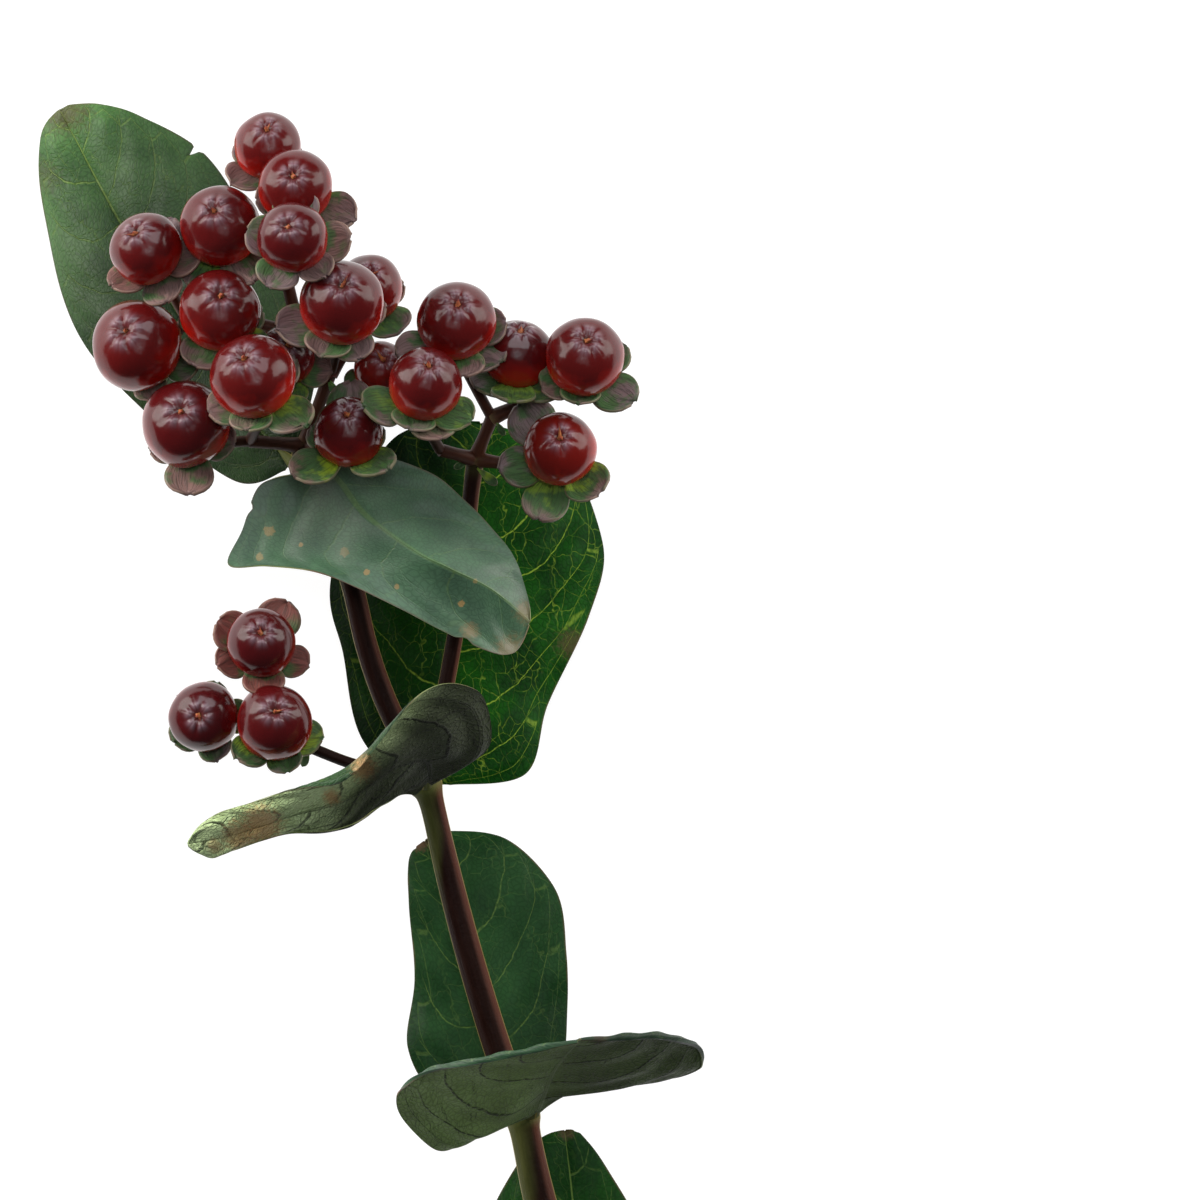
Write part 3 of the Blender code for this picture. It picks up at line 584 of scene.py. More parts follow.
# What a blade looks like: its colours, how bright its veins are, and its spots, each a pixel of
# the photograph, a size in millimetres and how dark it is. Its painted shade darkens one end of the
# blade or one side of it, where shade falls on it: whether it runs along or across, from where to
# where, and the share of the colour that is left where it starts
LEAF_LOOKS = {
    "leaf_1_back": {
        "seed": 3, "gloss": 0.17, "veins": 0.95, "bump": 0.13,
        "upper": ((0.024, 0.076, 0.016), (0.070, 0.165, 0.046)),
        "under": ((0.035, 0.07, 0.028), (0.06, 0.1, 0.045)),
        "painted_shade": ("along", 0.40, 0.92, 0.24),
        "spots": [((60, 104), 3.2, 0.5), ((38, 175), 2.2, 0.25)],
    },
    "leaf_1_front": {
        "seed": 11, "gloss": 0.50, "veins": 0.12, "rib": 0.22, "dead": (0.17, 0.12, 0.05), "bump": 0.03,
        "upper": ((0.034, 0.076, 0.044), (0.056, 0.128, 0.064)),
        "under": ((0.035, 0.07, 0.03), (0.06, 0.1, 0.05)),
        "painted_shade": ("along", 0.05, 0.4, 0.62),
        "spots": [
            ((461.6, 604), 0.45, 0.9), ((367, 572.6), 0.4, 0.8), ((397, 587), 0.33, 0.7),
            ((301, 544.7), 0.3, 0.7), ((269, 531), 0.7, 0.6), ((259.6, 557), 0.5, 0.5),
            ((345, 552), 0.6, 0.4), ((475.5, 581), 0.3, 0.5), ((511, 652), 2.0, 0.6),
            ((470, 631), 1.0, 0.7), ((527, 612), 1.4, 0.6),
        ],
    },
    "leaf_2_back": {
        "seed": 23, "gloss": 0.03, "veins": 1.0, "vein": (0.22, 0.34, 0.035), "bump": 0.09,
        "upper": ((0.002, 0.022, 0.002), (0.007, 0.062, 0.004)),
        "under": ((0.025, 0.055, 0.018), (0.045, 0.085, 0.032)),
        "painted_shade": ("across", -7, 6, 0.20),
        "spots": [((572, 644), 1.8, 0.5)],
    },
    "leaf_2_front": {
        "seed": 31, "gloss": 0.3, "veins": 0.4, "dead": (0.46, 0.27, 0.11), "quilt": 0.34, "bump": 0.4,
        "upper": ((0.012, 0.045, 0.012), (0.03, 0.08, 0.026)),
        "under": ((0.30, 0.40, 0.17), (0.50, 0.64, 0.32)),
        "painted_shade": ("along", 0.42, 0.66, 0.06),
        "spots": [
            ((366, 768), 1.5, 0.9), ((332, 797), 1.0, 0.8), ((262, 826), 2.4, 0.8),
            ((238, 836), 1.8, 0.7), ((215, 846), 1.0, 0.5),
        ],
    },
    "leaf_3_back": {
        "seed": 41, "gloss": 0.06, "veins": 0.32,
        "upper": ((0.005, 0.026, 0.006), (0.012, 0.046, 0.012)),
        "under": ((0.022, 0.048, 0.018), (0.042, 0.076, 0.032)),
        "painted_shade": ("along", 0.0, 0.5, 0.3),
        "spots": [((419, 843), 1.2, 0.8)],
    },
    "leaf_3_front": {
        "seed": 53, "gloss": 0.3, "veins": 0.55, "quilt": 0.22,
        "upper": ((0.016, 0.05, 0.022), (0.03, 0.075, 0.034)),
        "under": ((0.09, 0.14, 0.04), (0.17, 0.26, 0.085)),
        "painted_shade": ("across", 5, -6, 0.40),
        "spots": [((600, 1034), 1.0, 0.6)],
    },
    "leaf_4_back": {
        "seed": 61, "gloss": 0.06, "veins": 0.2,
        "upper": ((0.002, 0.020, 0.002), (0.006, 0.040, 0.004)),
        "under": ((0.022, 0.048, 0.018), (0.042, 0.076, 0.032)),
        "spots": [((566, 1134), 1.0, 0.5)],
    },
    "leaf_4_front": {
        "seed": 71, "gloss": 0.25, "veins": 0.5,
        "upper": ((0.012, 0.052, 0.012), (0.03, 0.092, 0.026)),
        "under": ((0.03, 0.06, 0.024), (0.052, 0.088, 0.04)),
        "spots": [((845, 1560), 2.0, 0.6)],
    },
    "leaf_5_left": {
        "seed": 83, "gloss": 0.25, "veins": 0.5,
        "upper": ((0.012, 0.05, 0.012), (0.028, 0.088, 0.024)),
        "under": ((0.03, 0.06, 0.024), (0.052, 0.088, 0.04)),
        "spots": [((470, 1640), 1.6, 0.6)],
    },
    "leaf_5_right": {
        "seed": 97, "gloss": 0.25, "veins": 0.5,
        "upper": ((0.012, 0.052, 0.013), (0.03, 0.092, 0.026)),
        "under": ((0.03, 0.06, 0.024), (0.052, 0.088, 0.04)),
        "spots": [((930, 1930), 2.2, 0.7)],
    },
}

# Tears in a margin: which edge, the share of the length, its depth as a share of the half blade
# and its width as a share of the length
LEAF_TEARS = {
    "leaf_1_back": [("right", 0.53, 0.11, 0.009), ("right", 0.985, 0.5, 0.02)],
    "leaf_1_front": [("left", 0.21, 0.05, 0.012), ("left", 0.80, 0.07, 0.02)],
    "leaf_4_back": [("right", 0.97, 0.35, 0.02)],
    "leaf_3_back": [("left", 0.93, 0.12, 0.02)],
}

# Margins that curl over towards the underside: which edge, the share of the length where it
# curls most, how far the curl reaches along it, and its radius in millimetres
LEAF_CURLS = {
    "leaf_2_front": [("right", 0.66, 0.09, 1.3), ("left", 0.45, 0.25, 0.35)],
    "leaf_3_front": [("left", 0.85, 0.22, 0.55), ("right", 0.82, 0.26, 0.55)],
}

LEAF_STATIONS = 132
LEAF_COLUMNS = 64
BLUNT = 0.045
WAVE = 0.45
QUILT = 0.16
RIB_GROOVE = 0.28


def spotted(tree, colour, place, grains, looks):
    """A colour with the blade's spots on it: small ones of rust, and larger ones that are dead."""
    wobble = times(tree, minus(tree, grains, 0.5), 1.8)
    for pixel, size, depth in looks["spots"]:
        inputs = {
            "Place": place, "Centre": metres(from_photo(*pixel)), "Size": size / 1000,
            "Wobble": wobble, "Soft": 0.2 if size < 1 else 0.6,
        }
        mask = place_group(tree, blot_group, inputs)["Spot"]
        rust = (0.26, 0.17, 0.06) if size < 1 else looks.get("dead", (0.085, 0.045, 0.028))
        colour = mixed(tree, times(tree, mask, depth), colour, rust)
    return colour


def paint_leaf_face(name, looks, upper):
    """The material of a blade's upper face, or of its paler, duller underside, with its painted shade."""
    side = "upper" if upper else "under"
    dark, light = looks[side]
    made, tree, shader = new_material(
        f"{name}_{side}", light, Specular_IOR_Level=looks["gloss"] if upper else 0.13
    )
    place = object_place(tree)
    blade = stored(tree, "blade")["Vector"]
    spot = stored(tree, "spot")["Vector"]
    inputs = {"Blade": blade, "Spot": spot, "Seed": looks["seed"], "Width": 1.0 if upper else 1.8}
    veins = place_group(tree, vein_group, inputs)
    mottle = mottled(tree, place, 9.0, 0.5)
    colour = mixed(tree, mottle["Blotches"], dark, light)
    colour = mixed(tree, ramp(tree, mottle["Grains"], 0.3, 0.7, 0.0, 0.35), colour, light)
    share = looks["veins"]
    # Painted shade: the recessed fine net is darkened towards this shaded colour, which the underside's side
    # veins also take
    shaded = tuple((0.3 if upper else 0.1) * part for part in dark)
    colour = mixed(tree, times(tree, veins["Net"], 0.28), colour, shaded)
    rib_colour = looks.get("vein", (0.15, 0.24, 0.05)) if upper else (0.17, 0.23, 0.10)
    if upper:
        vein_colour, cross_share, side_share = rib_colour, 0.42 * share, 0.08 + 0.7 * share
    else:
        vein_colour, cross_share, side_share = shaded, 0.5, 0.8
    lines = times(tree, veins["Cross"], cross_share)
    lines = larger(tree, lines, times(tree, veins["Side"], side_share))
    colour = mixed(tree, lines, colour, vein_colour)
    rib_share = looks.get("rib", 0.3 + 0.6 * share)
    colour = mixed(tree, times(tree, veins["Rib"], rib_share), colour, rib_colour)
    colour = spotted(tree, colour, place, mottle["Grains"], looks)
    margin = separate(tree, spot)[0]
    dried = ramp(tree, mottle["Blotches"], 0.2, 0.9, 0.12, 0.7)
    edge = times(tree, ramp(tree, margin, 0.32, 0.05, 0.0, 1.0), dried)
    colour = mixed(tree, edge, colour, (0.085, 0.06, 0.03))
    # Painted shade: darkens one end or one side of the blade, where shade falls on it
    if "painted_shade" in looks:
        runs, start, stop, depth = looks["painted_shade"]
        run = separate(tree, spot if runs == "along" else blade)[1]
        colour = scaled(tree, colour, ramp(tree, run, start, stop, depth, 1.0))

    rough_low, rough_high = (0.38, 0.50) if upper else (0.50, 0.66)
    roughness = ramp(tree, mottle["Grains"], 0.3, 0.7, rough_low, rough_high)
    sunk = -1 if upper else 1
    height = times(tree, larger(tree, veins["Rib"], veins["Side"]), sunk * 0.9)
    height = plus(tree, height, times(tree, veins["Cross"], sunk * 0.6))
    height = plus(tree, height, times(tree, veins["Net"], sunk * 0.25))
    height = plus(tree, height, times(tree, mottle["Grains"], 0.3))
    depth = looks.get("bump", 0.06 if upper else 0.24)
    dress(tree, shader, colour, bump(tree, height, depth), roughness)
    return made


def paint_leaf_rim(name):
    """The cut edge between a blade's two faces: green, and brown where it has dried."""
    made, tree, shader = new_material(f"{name}_rim", (0.12, 0.12, 0.05), Roughness=0.5)
    place = object_place(tree)
    browned = ramp(tree, noise(tree, place, 90, 3), 0.4, 0.6)
    dress(tree, shader, mixed(tree, browned, (0.16, 0.20, 0.07), (0.15, 0.09, 0.05)))
    return made


def edge_rails(leaf):
    """The left edge, the midrib and the right edge, each with a place at every station."""
    rails = {}
    shares = np.linspace(0, 1, LEAF_STATIONS + 1)
    for side in ("left", "rib", "right"):
        path = np.array(smooth_path(leaf[side], 24))
        steps = np.linspace(0, 1, len(path))
        rails[side] = np.stack([np.interp(shares, steps, path[:, axis]) for axis in range(3)], 1)
    return shares, rails


def unit(vectors):
    return vectors / np.maximum(np.linalg.norm(vectors, axis=-1, keepdims=True), 1e-9)


def on_side(columns, side):
    return (columns > 0 if side == "right" else columns < 0)[None, :]


def worn_reach(name, leaf, shares, columns, reach):
    """How far out each place lies, as a share of the half blade: less at tears and at the tip."""
    tear = np.zeros_like(reach)
    for side, at, depth, width in LEAF_TEARS.get(name, ()):
        notch = depth * np.clip(1 - np.abs(shares - at) / width, 0, 1)[:, None]
        tear += notch * on_side(columns, side) * reach**6
    blunt = leaf.get("blunt", BLUNT)
    close = np.clip((shares - 1 + blunt) / blunt, 0, 1)
    return reach * (1 - tear) * np.sqrt(1 - 0.985 * close**2)[:, None]


def rolled_margin(name, shares, columns, reach, half):
    """A factor by which a curled margin draws each place in, and how far the place hangs down."""
    curl = np.zeros_like(reach)
    for side, at, width, radius in LEAF_CURLS.get(name, ()):
        curl += radius * bell(shares - at, width)[:, None] * on_side(columns, side)
    curl = np.maximum(np.minimum(curl, 0.12 * half), 1e-6)
    rolled = np.clip(math.pi - (1 - reach) * half / curl, 0, math.pi)
    flat_end = half - math.pi * curl
    bent = np.where(rolled > 0, flat_end + curl * np.sin(rolled), reach * half)
    drawn_in = bent * half / np.maximum((flat_end + curl) * reach * half, 1e-9)
    return drawn_in, curl * (1 - np.cos(rolled))


def blade_places(name, leaf, rng):
    """The blade's places, and what its material reads, over stations and columns."""
    shares, rails = edge_rails(leaf)
    rib = rails["rib"]
    across = rails["right"] - rails["left"]
    face = unit(np.cross(across, np.gradient(rib, axis=0)))
    columns = np.linspace(-1, 1, LEAF_COLUMNS + 1)
    edges = np.where(columns[None, :, None] > 0, rails["right"][:, None], rails["left"][:, None])
    reach = np.abs(columns)[None, :] * np.ones((len(shares), 1))
    half = np.linalg.norm(edges - rib[:, None], axis=2)
    drawn_in, hem = rolled_margin(name, shares, columns, reach, half)
    out = worn_reach(name, leaf, shares, columns, reach) * drawn_in
    length = np.concatenate([[0], np.cumsum(np.linalg.norm(np.diff(rib, axis=0), axis=1))])
    places = rib[:, None] + (edges - rib[:, None]) * out[..., None]
    arch = leaf["arch"] * np.minimum(half / ARCHED_WIDTH, 1)

    # Side veins leave the midrib in turn and bend towards the tip. They lie on every half count
    span = length[-1]
    spread = np.minimum(half / np.maximum(half.max(), 1e-6), 1)
    ahead = half * (0.45 * reach + 0.9 * reach**3)
    skew = np.where(columns > 0, 0.5, 0.08)[None, :]
    count = (length[:, None] - ahead) / LATERAL_SPACING + skew + rng.uniform(0, 1)
    plump = np.sin(math.pi * np.clip(reach, 0, 1)) ** 0.8 * np.minimum(half / 6, 1)
    quilt = LEAF_LOOKS[name].get("quilt", QUILT) * np.cos(2 * math.pi * count) * plump
    groove = -RIB_GROOVE * bell(reach * half, 0.9) * (1 - 0.6 * shares[:, None])
    turns = rng.uniform(0, 2 * math.pi, 4)
    wave = np.sin(5.2 * math.pi * shares[:, None] + turns[0] + columns[None, :])
    wave += 0.5 * np.sin(11 * math.pi * shares[:, None] + turns[1] - 2 * columns[None, :])
    wave *= WAVE * reach**2.5 * np.sin(math.pi * shares[:, None]) * spread
    upper = leaf["upper"]
    lift = arch * 4 * reach * (1 - reach) + wave + upper * (quilt + groove - hem)
    places = places + face[:, None] * lift[..., None]

    off = columns[None, :] * half
    margin = (1 - reach) * half * np.where(reach < 1, 1, 0)
    margin = np.minimum(margin, np.minimum(length, span - length)[:, None] + 0.3)
    blade = np.stack([np.broadcast_to(length[:, None], off.shape), off, count], 2)
    spot = np.stack([margin, np.broadcast_to(shares[:, None], off.shape), reach], 2)
    return places, blade, spot


def grid_mesh(name, places, flipped):
    """A mesh over rows of places. Its faces look along rows cross columns, or the other way."""
    rows, columns = places.shape[:2]
    index = np.arange(rows * columns).reshape(rows, columns)
    corners = [index[:-1, :-1], index[:-1, 1:], index[1:, 1:], index[1:, :-1]]
    faces = np.stack(corners[::-1] if flipped else corners, -1).reshape(-1, 4)
    mesh = bpy.data.meshes.new(name)
    shift = np.array([MIDDLE[0], MIDDLE[1], 0])
    mesh.from_pydata(((places.reshape(-1, 3) - shift) / 1000).tolist(), [], faces.tolist())
    return mesh


def build_leaf(name, leaf):
    looks = LEAF_LOOKS[name]
    rng = np.random.default_rng(looks["seed"])
    places, blade, spot = blade_places(name, leaf, rng)
    mesh = grid_mesh(name, places, leaf["upper"] < 0)
    attribute(mesh, "blade", "FLOAT_VECTOR", blade)
    attribute(mesh, "spot", "FLOAT_VECTOR", spot)
    mesh.materials.append(paint_leaf_face(name, looks, True))
    mesh.materials.append(paint_leaf_face(name, looks, False))
    mesh.materials.append(paint_leaf_rim(name))
    obj = new_object(name + "_blade", mesh)
    body = obj.vertex_groups.new(name="body")
    margins = spot[..., 0].ravel()
    for vertex, margin in enumerate(margins):
        body.add([vertex], float(min(1, 0.35 + 0.65 * margin / 2.5)), "REPLACE")
    wall = obj.modifiers.new("Thickness", "SOLIDIFY")
    wall.thickness = BLADE_THICKNESS / 1000
    wall.offset = 0
    wall.vertex_group = "body"
    wall.material_offset = 1
    wall.material_offset_rim = 2
    obj = applied(obj)
    obj.data.shade_smooth()
    obj.data.set_sharp_from_angle(angle=math.radians(50))
    return obj


# Stalks, by a tree that sweeps a ridged ring along a path

RIDGE_SHARPNESS = 24.0


def geometry_tree(name, inputs):
    """An empty Geometry Nodes tree with a geometry input and output, and these named inputs."""
    tree = bpy.data.node_groups.new(name, "GeometryNodeTree")
    tree.interface.new_socket("Geometry", in_out="INPUT", socket_type="NodeSocketGeometry")
    for title, (kind, default) in inputs.items():
        socket = tree.interface.new_socket(title, in_out="INPUT", socket_type=kind)
        if default is not None:
            socket.default_value = default
    tree.interface.new_socket("Geometry", in_out="OUTPUT", socket_type="NodeSocketGeometry")
    return tree, tree.nodes.new("NodeGroupInput").outputs, tree.nodes.new("NodeGroupOutput").inputs


def named(tree, name, kind):
    made = node(tree, "GeometryNodeInputNamedAttribute", {"Name": name}, data_type=kind)
    return made.outputs["Attribute"]


def store(tree, geometry, name, kind, value):
    inputs = {"Geometry": geometry, "Name": name, "Value": value}
    made = node(tree, "GeometryNodeStoreNamedAttribute", inputs, data_type=kind, domain="POINT")
    return made.outputs["Geometry"]


def finished(tree, geometry, material):
    """Real copies, smooth shading and the material, in that order, as the tree's last nodes."""
    real = node(tree, "GeometryNodeRealizeInstances", {"Geometry": geometry}).outputs[0]
    smooth = node(tree, "GeometryNodeSetShadeSmooth", {"Geometry": real}).outputs[0]
    inputs = {"Geometry": smooth, "Material": material}
    return node(tree, "GeometryNodeSetMaterial", inputs).outputs[0]


def build_stalk_tree():
    tree, entry, leave = geometry_tree(
        "Stalk along a path",
        {
            "Sides": ("NodeSocketInt", 24),
            "Ridges": ("NodeSocketInt", 2),
            "Ridge height": ("NodeSocketFloat", 0.08),
            "Material": ("NodeSocketMaterial", None),
        },
    )
    length = node(tree, "GeometryNodeSplineParameter", {}).outputs["Length"]
    path = node(tree, "GeometryNodeMeshToCurve", {"Mesh": entry["Geometry"]}).outputs[0]
    path = store(tree, path, "along", "FLOAT", length)
    inputs = {"Resolution": entry["Sides"], "Radius": 1.0}
    ring = node(tree, "GeometryNodeCurvePrimitiveCircle", inputs).outputs["Curve"]
    place = node(tree, "GeometryNodeInputPosition", {}).outputs[0]
    ring = store(tree, ring, "around", "FLOAT_VECTOR", place)
    x, y, _ = separate(tree, place)
    half_ridges = times(tree, entry["Ridges"], 0.5)
    turn = times(tree, maths(tree, "ARCTAN2", y, x), half_ridges)
    crest = maths(tree, "POWER", maths(tree, "ABSOLUTE", maths(tree, "COSINE", turn)), RIDGE_SHARPNESS)
    rise = times(tree, crest, entry["Ridge height"])
    inputs = {"Geometry": ring, "Offset": scaled(tree, place, rise)}
    ring = node(tree, "GeometryNodeSetPosition", inputs).outputs[0]
    inputs = {
        "Curve": path, "Profile Curve": ring, "Scale": named(tree, "thickness", "FLOAT"),
        "Fill Caps": True,
    }
    tube = node(tree, "GeometryNodeCurveToMesh", inputs).outputs[0]
    feed(tree, leave[0], finished(tree, tube, entry["Material"]))
    return tree


def build_copies_tree():
    """Copies of a shape on points that hold a turn, a size, a seed and a tint."""
    tree, entry, leave = geometry_tree(
        "Copies on points",
        {
            "Shape": ("NodeSocketObject", None),
            "Unevenness": ("NodeSocketFloat", 0.05),
            "Wave length": ("NodeSocketFloat", 1.0),
            "Material": ("NodeSocketMaterial", None),
        },
    )
    shape = node(tree, "GeometryNodeObjectInfo", {"Object": entry["Shape"], "As Instance": True})
    turn = node(tree, "FunctionNodeEulerToRotation", {0: named(tree, "turn", "FLOAT_VECTOR")})
    inputs = {
        "Points": entry["Geometry"], "Instance": shape.outputs["Geometry"],
        "Rotation": turn.outputs[0], "Scale": named(tree, "size", "FLOAT_VECTOR"),
    }
    copies = node(tree, "GeometryNodeInstanceOnPoints", inputs).outputs[0]
    real = node(tree, "GeometryNodeRealizeInstances", {"Geometry": copies}).outputs[0]
    local = named(tree, "local", "FLOAT_VECTOR")
    inputs = {
        "Vector": local, "W": named(tree, "seed", "FLOAT"), "Detail": 1.0,
        "Scale": maths(tree, "DIVIDE", 1.0, entry["Wave length"]),
    }
    uneven = node(tree, "ShaderNodeTexNoise", inputs, noise_dimensions="4D").outputs["Color"]
    uneven = vector_maths(tree, "SUBTRACT", uneven, (0.5, 0.5, 0.5))
    size = separate(tree, named(tree, "size", "FLOAT_VECTOR"))[0]
    amount = times(tree, size, entry["Unevenness"])
    inputs = {"Geometry": real, "Offset": scaled(tree, uneven, amount)}
    moved = node(tree, "GeometryNodeSetPosition", inputs).outputs[0]
    feed(tree, leave[0], finished(tree, moved, entry["Material"]))
    return tree


stalk_tree = build_stalk_tree()
copies_tree = build_copies_tree()


def grown(name, mesh, tree, values):
    """A plain mesh object that a tree makes from this mesh, with its inputs set by their names."""
    guide = new_object(name, mesh)
    modifier = guide.modifiers.new("Grow", "NODES")
    modifier.node_group = tree
    for item in tree.interface.items_tree:
        if item.in_out == "INPUT" and item.name in values:
            modifier[item.identifier] = values[item.name]
    return applied(guide)


def path_mesh(name, paths, tones):
    """Edges along each path of (x, y, z, radius) places, with the radius stored as a thickness.

    The tones say at each place how young the bark is and whether it lies on a pale collar.
    """
    places, edges, radii = [], [], []
    for path in paths:
        first = len(places)
        places += [metres(place) for place in path]
        radii += [place[3] / 1000 for place in path]
        edges += [(first + step, first + step + 1) for step in range(len(path) - 1)]
    mesh = bpy.data.meshes.new(name)
    mesh.from_pydata(places, edges, [])
    attribute(mesh, "thickness", "FLOAT", radii)
    attribute(mesh, "young", "FLOAT", [tone[0] for tone in tones])
    attribute(mesh, "collar", "FLOAT", [tone[1] for tone in tones])
    return mesh


def points_mesh(name, points):
    """Points that hold a place, a turn, a size, a seed and a tint, for the copies tree."""
    mesh = bpy.data.meshes.new(name)
    mesh.from_pydata([point["place"] for point in points], [], [])
    kinds = {"turn": "FLOAT_VECTOR", "size": "FLOAT_VECTOR", "seed": "FLOAT", "tint": "FLOAT"}
    for key, kind in kinds.items():
        attribute(mesh, key, kind, [point[key] for point in points])
    return mesh


# The woody stem

LEAF_STALK_REACH = 2.6
LEAF_STALK_TONE = (1.4, 0.5)
LOWER_STEM = -90
NODE_RADIUS = 2.35
NODE_SWELLING = 0.84
YOUNG_LENGTH = 15
COLLAR_LENGTH = 1.0
TRUNK_TONE = 1.0
SHOOT_TONE = 0.2


def streaks_along(tree, stretch, scale, detail):
    """Streaks that run along a stalk, from 0 to 1."""
    x, y, _ = separate(tree, stored(tree, "around")["Vector"])
    place = joined(tree, x, y, times(tree, stored(tree, "along")["Fac"], stretch))
    return noise(tree, place, scale, detail, 0.6)


def paint_bark():
    """Smooth young bark: green where it is young, red-brown to purple where it is old."""
    made, tree, shader = new_material("Bark", (0.08, 0.05, 0.03), Specular_IOR_Level=0.06)
    texture = node(tree, "ShaderNodeTexCoord", {}).outputs
    place = texture["Object"]
    facing = separate(tree, texture["Normal"])[0]
    mottle = mottled(tree, place, 18.0, 0.45)
    streaks = streaks_along(tree, 60, 3.2, 4)
    purple = mixed(tree, streaks, (0.003, 0.0012, 0.001), (0.016, 0.005, 0.003))
    green = mixed(tree, streaks, (0.020, 0.024, 0.006), (0.060, 0.064, 0.018))
    warm = times(tree, ramp(tree, facing, 0.4, 0.9), 0.7)
    purple = mixed(tree, warm, purple, (0.085, 0.026, 0.014))
    fresh = times(tree, minus(tree, mottle["Blotches"], 0.5), 0.3)
    fresh = plus(tree, fresh, stored(tree, "young")["Fac"])
    fresh = minus(tree, fresh, times(tree, facing, 0.5))
    colour = mixed(tree, ramp(tree, fresh, 0.62, 1.15), purple, green)
    colour = mixed(tree, times(tree, stored(tree, "collar")["Fac"], 0.6), colour, (0.13, 0.15, 0.045))
    sideways = separate(tree, stored(tree, "around")["Vector"])[0]
    crest = ramp(tree, maths(tree, "ABSOLUTE", sideways), 0.975, 1.0)
    colour = mixed(tree, times(tree, crest, 0.75), colour, (0.25, 0.20, 0.06))
    height = plus(tree, streaks, times(tree, mottle["Grains"], 0.5))
    dress(tree, shader, colour, bump(tree, height, 0.12), ramp(tree, streaks, 0.3, 0.7, 0.36, 0.55))
    return made


def leaf_stalk(leaf, stem):
    """A very short green stalk, from inside the stem to just past a blade's base."""
    base, ahead = (Vector(place) for place in leaf["rib"][:2])
    root = min((Vector(place[:3]) for place in stem), key=lambda place: (place - base).length)
    tip = base + LEAF_STALK_REACH * (ahead - base).normalized()
    return [(*root, 1.3), (*base, 0.85), (*tip, 0.25)]


def swollen(x, y, z, radius):
    """A place of the main stem, thicker where it is a node of the lower stem."""
    swelling = max(0, radius - NODE_RADIUS) if y < LOWER_STEM else 0
    return x, y, z, radius + NODE_SWELLING * swelling


def build_stem(bark):
    """The main stem and both shoots, each up to its head, and a stalk for every leaf.

    Bark is greenest just below a node and paler on the collar at it.
    """
    trunk = [swollen(*place) for place in smooth_path(MAIN_STEM, 6)]
    bases = [head["forks"]["base"] for head in HEADS.values()]
    shoots = [trunk, smooth_path(RIGHT_SHOOT, 12), smooth_path(LEFT_SHOOT, 12)]
    paths = [path + [(*base, 0.9 * path[-1][3])] for path, base in zip(shoots, bases)]
    tones = []
    for path, strength in zip(paths, (TRUNK_TONE, SHOOT_TONE, SHOOT_TONE)):
        for _, y, _, _ in path:
            below = min([node_y - y for node_y in STEM_NODES if node_y >= y] or [2 * YOUNG_LENGTH])
            near = min(abs(node_y - y) for node_y in STEM_NODES)
            tones.append((strength * bell(below, YOUNG_LENGTH), strength * bell(near, COLLAR_LENGTH)))
    for leaf in LEAVES.values():
        stalk = leaf_stalk(leaf, trunk)
        paths.append(stalk)
        tones += [LEAF_STALK_TONE] * len(stalk)
    values = {"Sides": 40, "Ridges": 2, "Ridge height": 0.09, "Material": bark}
    return grown("stem_bark", path_mesh("stem_path", paths, tones), stalk_tree, values)


# Berries


def berry_shape():
    """A berry of radius 1 with its tip at +Z, where it puckers round a small dimple."""
    folds = [(0.0, 1.0), (0.95, 0.8), (2.05, 1.0), (3.10, 0.9), (4.05, 0.9), (5.15, 1.0)]
    wrinkles = [0.42, 1.5, 2.55, 3.55, 4.6, 5.75]
    barrel = 2.12
    puffs = []
    bm = bmesh.new()
    bmesh.ops.create_uvsphere(bm, u_segments=96, v_segments=60, radius=1)
    for vert in bm.verts:
        x, y, z = vert.co
        fuller = (math.hypot(x, y) ** barrel + abs(z) ** barrel) ** (-1 / barrel)
        x, y, z = x * fuller, y * fuller, 0.95 * z * fuller
        off_axis = math.hypot(x, y)
        turn = math.atan2(y, x)
        puff = 0
        if z > 0:
            rim = bell(off_axis - 0.29, 0.115)
            wide = bell(off_axis - 0.48, 0.17)
            broad = 0
            for angle, depth in folds:
                apart = math.remainder(turn - angle, 2 * math.pi) * off_axis
                broad += depth * bell(apart, 0.080)
            fine = 0
            for angle in wrinkles:
                apart = math.remainder(turn - angle, 2 * math.pi) * off_axis
                fine += bell(apart, 0.024)
            puff = max(rim * (1 - broad - 0.5 * fine), 0)
            z += 0.062 * rim * (1 - min(broad, 1.1)) - 0.010 * rim * fine
            z -= wide * (0.010 * broad + 0.004 * fine)
            z -= 0.10 * bell(off_axis, 0.13)
        vert.co = (x, y, z)
        puffs.append(puff)
    mesh = bpy.data.meshes.new("berry_shape")
    bm.to_mesh(mesh)
    bm.free()
    attribute(mesh, "puff", "FLOAT", puffs)
    attribute(mesh, "local", "FLOAT_VECTOR", [vert.co for vert in mesh.vertices])
    return mesh


def sepal_shape():
    """A sepal one long and one wide at most, rooted at the origin and reaching along +X."""
    stations, columns = 16, 10
    rows, local = [], []
    for station in range(stations + 1):
        t = station / stations
        if t < 0.66:
            grown_share = t / 0.66
            half = 0.10 + 0.40 * (3 * grown_share**2 - 2 * grown_share**3)
        else:
            half = max(0.5 * math.sqrt(max(0, 1 - ((t - 0.66) / 0.345) ** 2)), 0.03)
        row = []
        for column in range(columns + 1):
            across = 2 * column / columns - 1
            rise = 0.20 * t**2.4 + 0.05 * across**2 * half * 2
            row.append((t, across * half, rise))
            local.append((t, across, (1 - abs(across)) * half))
        rows.append(row)
    places = np.array(rows)
    index = np.arange(places.shape[0] * places.shape[1]).reshape(places.shape[:2])
    corners = [index[:-1, :-1], index[1:, :-1], index[1:, 1:], index[:-1, 1:]]
    faces = np.stack(corners, -1).reshape(-1, 4)
    mesh = bpy.data.meshes.new("sepal_shape")
    mesh.from_pydata(places.reshape(-1, 3).tolist(), [], faces.tolist())
    attribute(mesh, "local", "FLOAT_VECTOR", local)
    return mesh


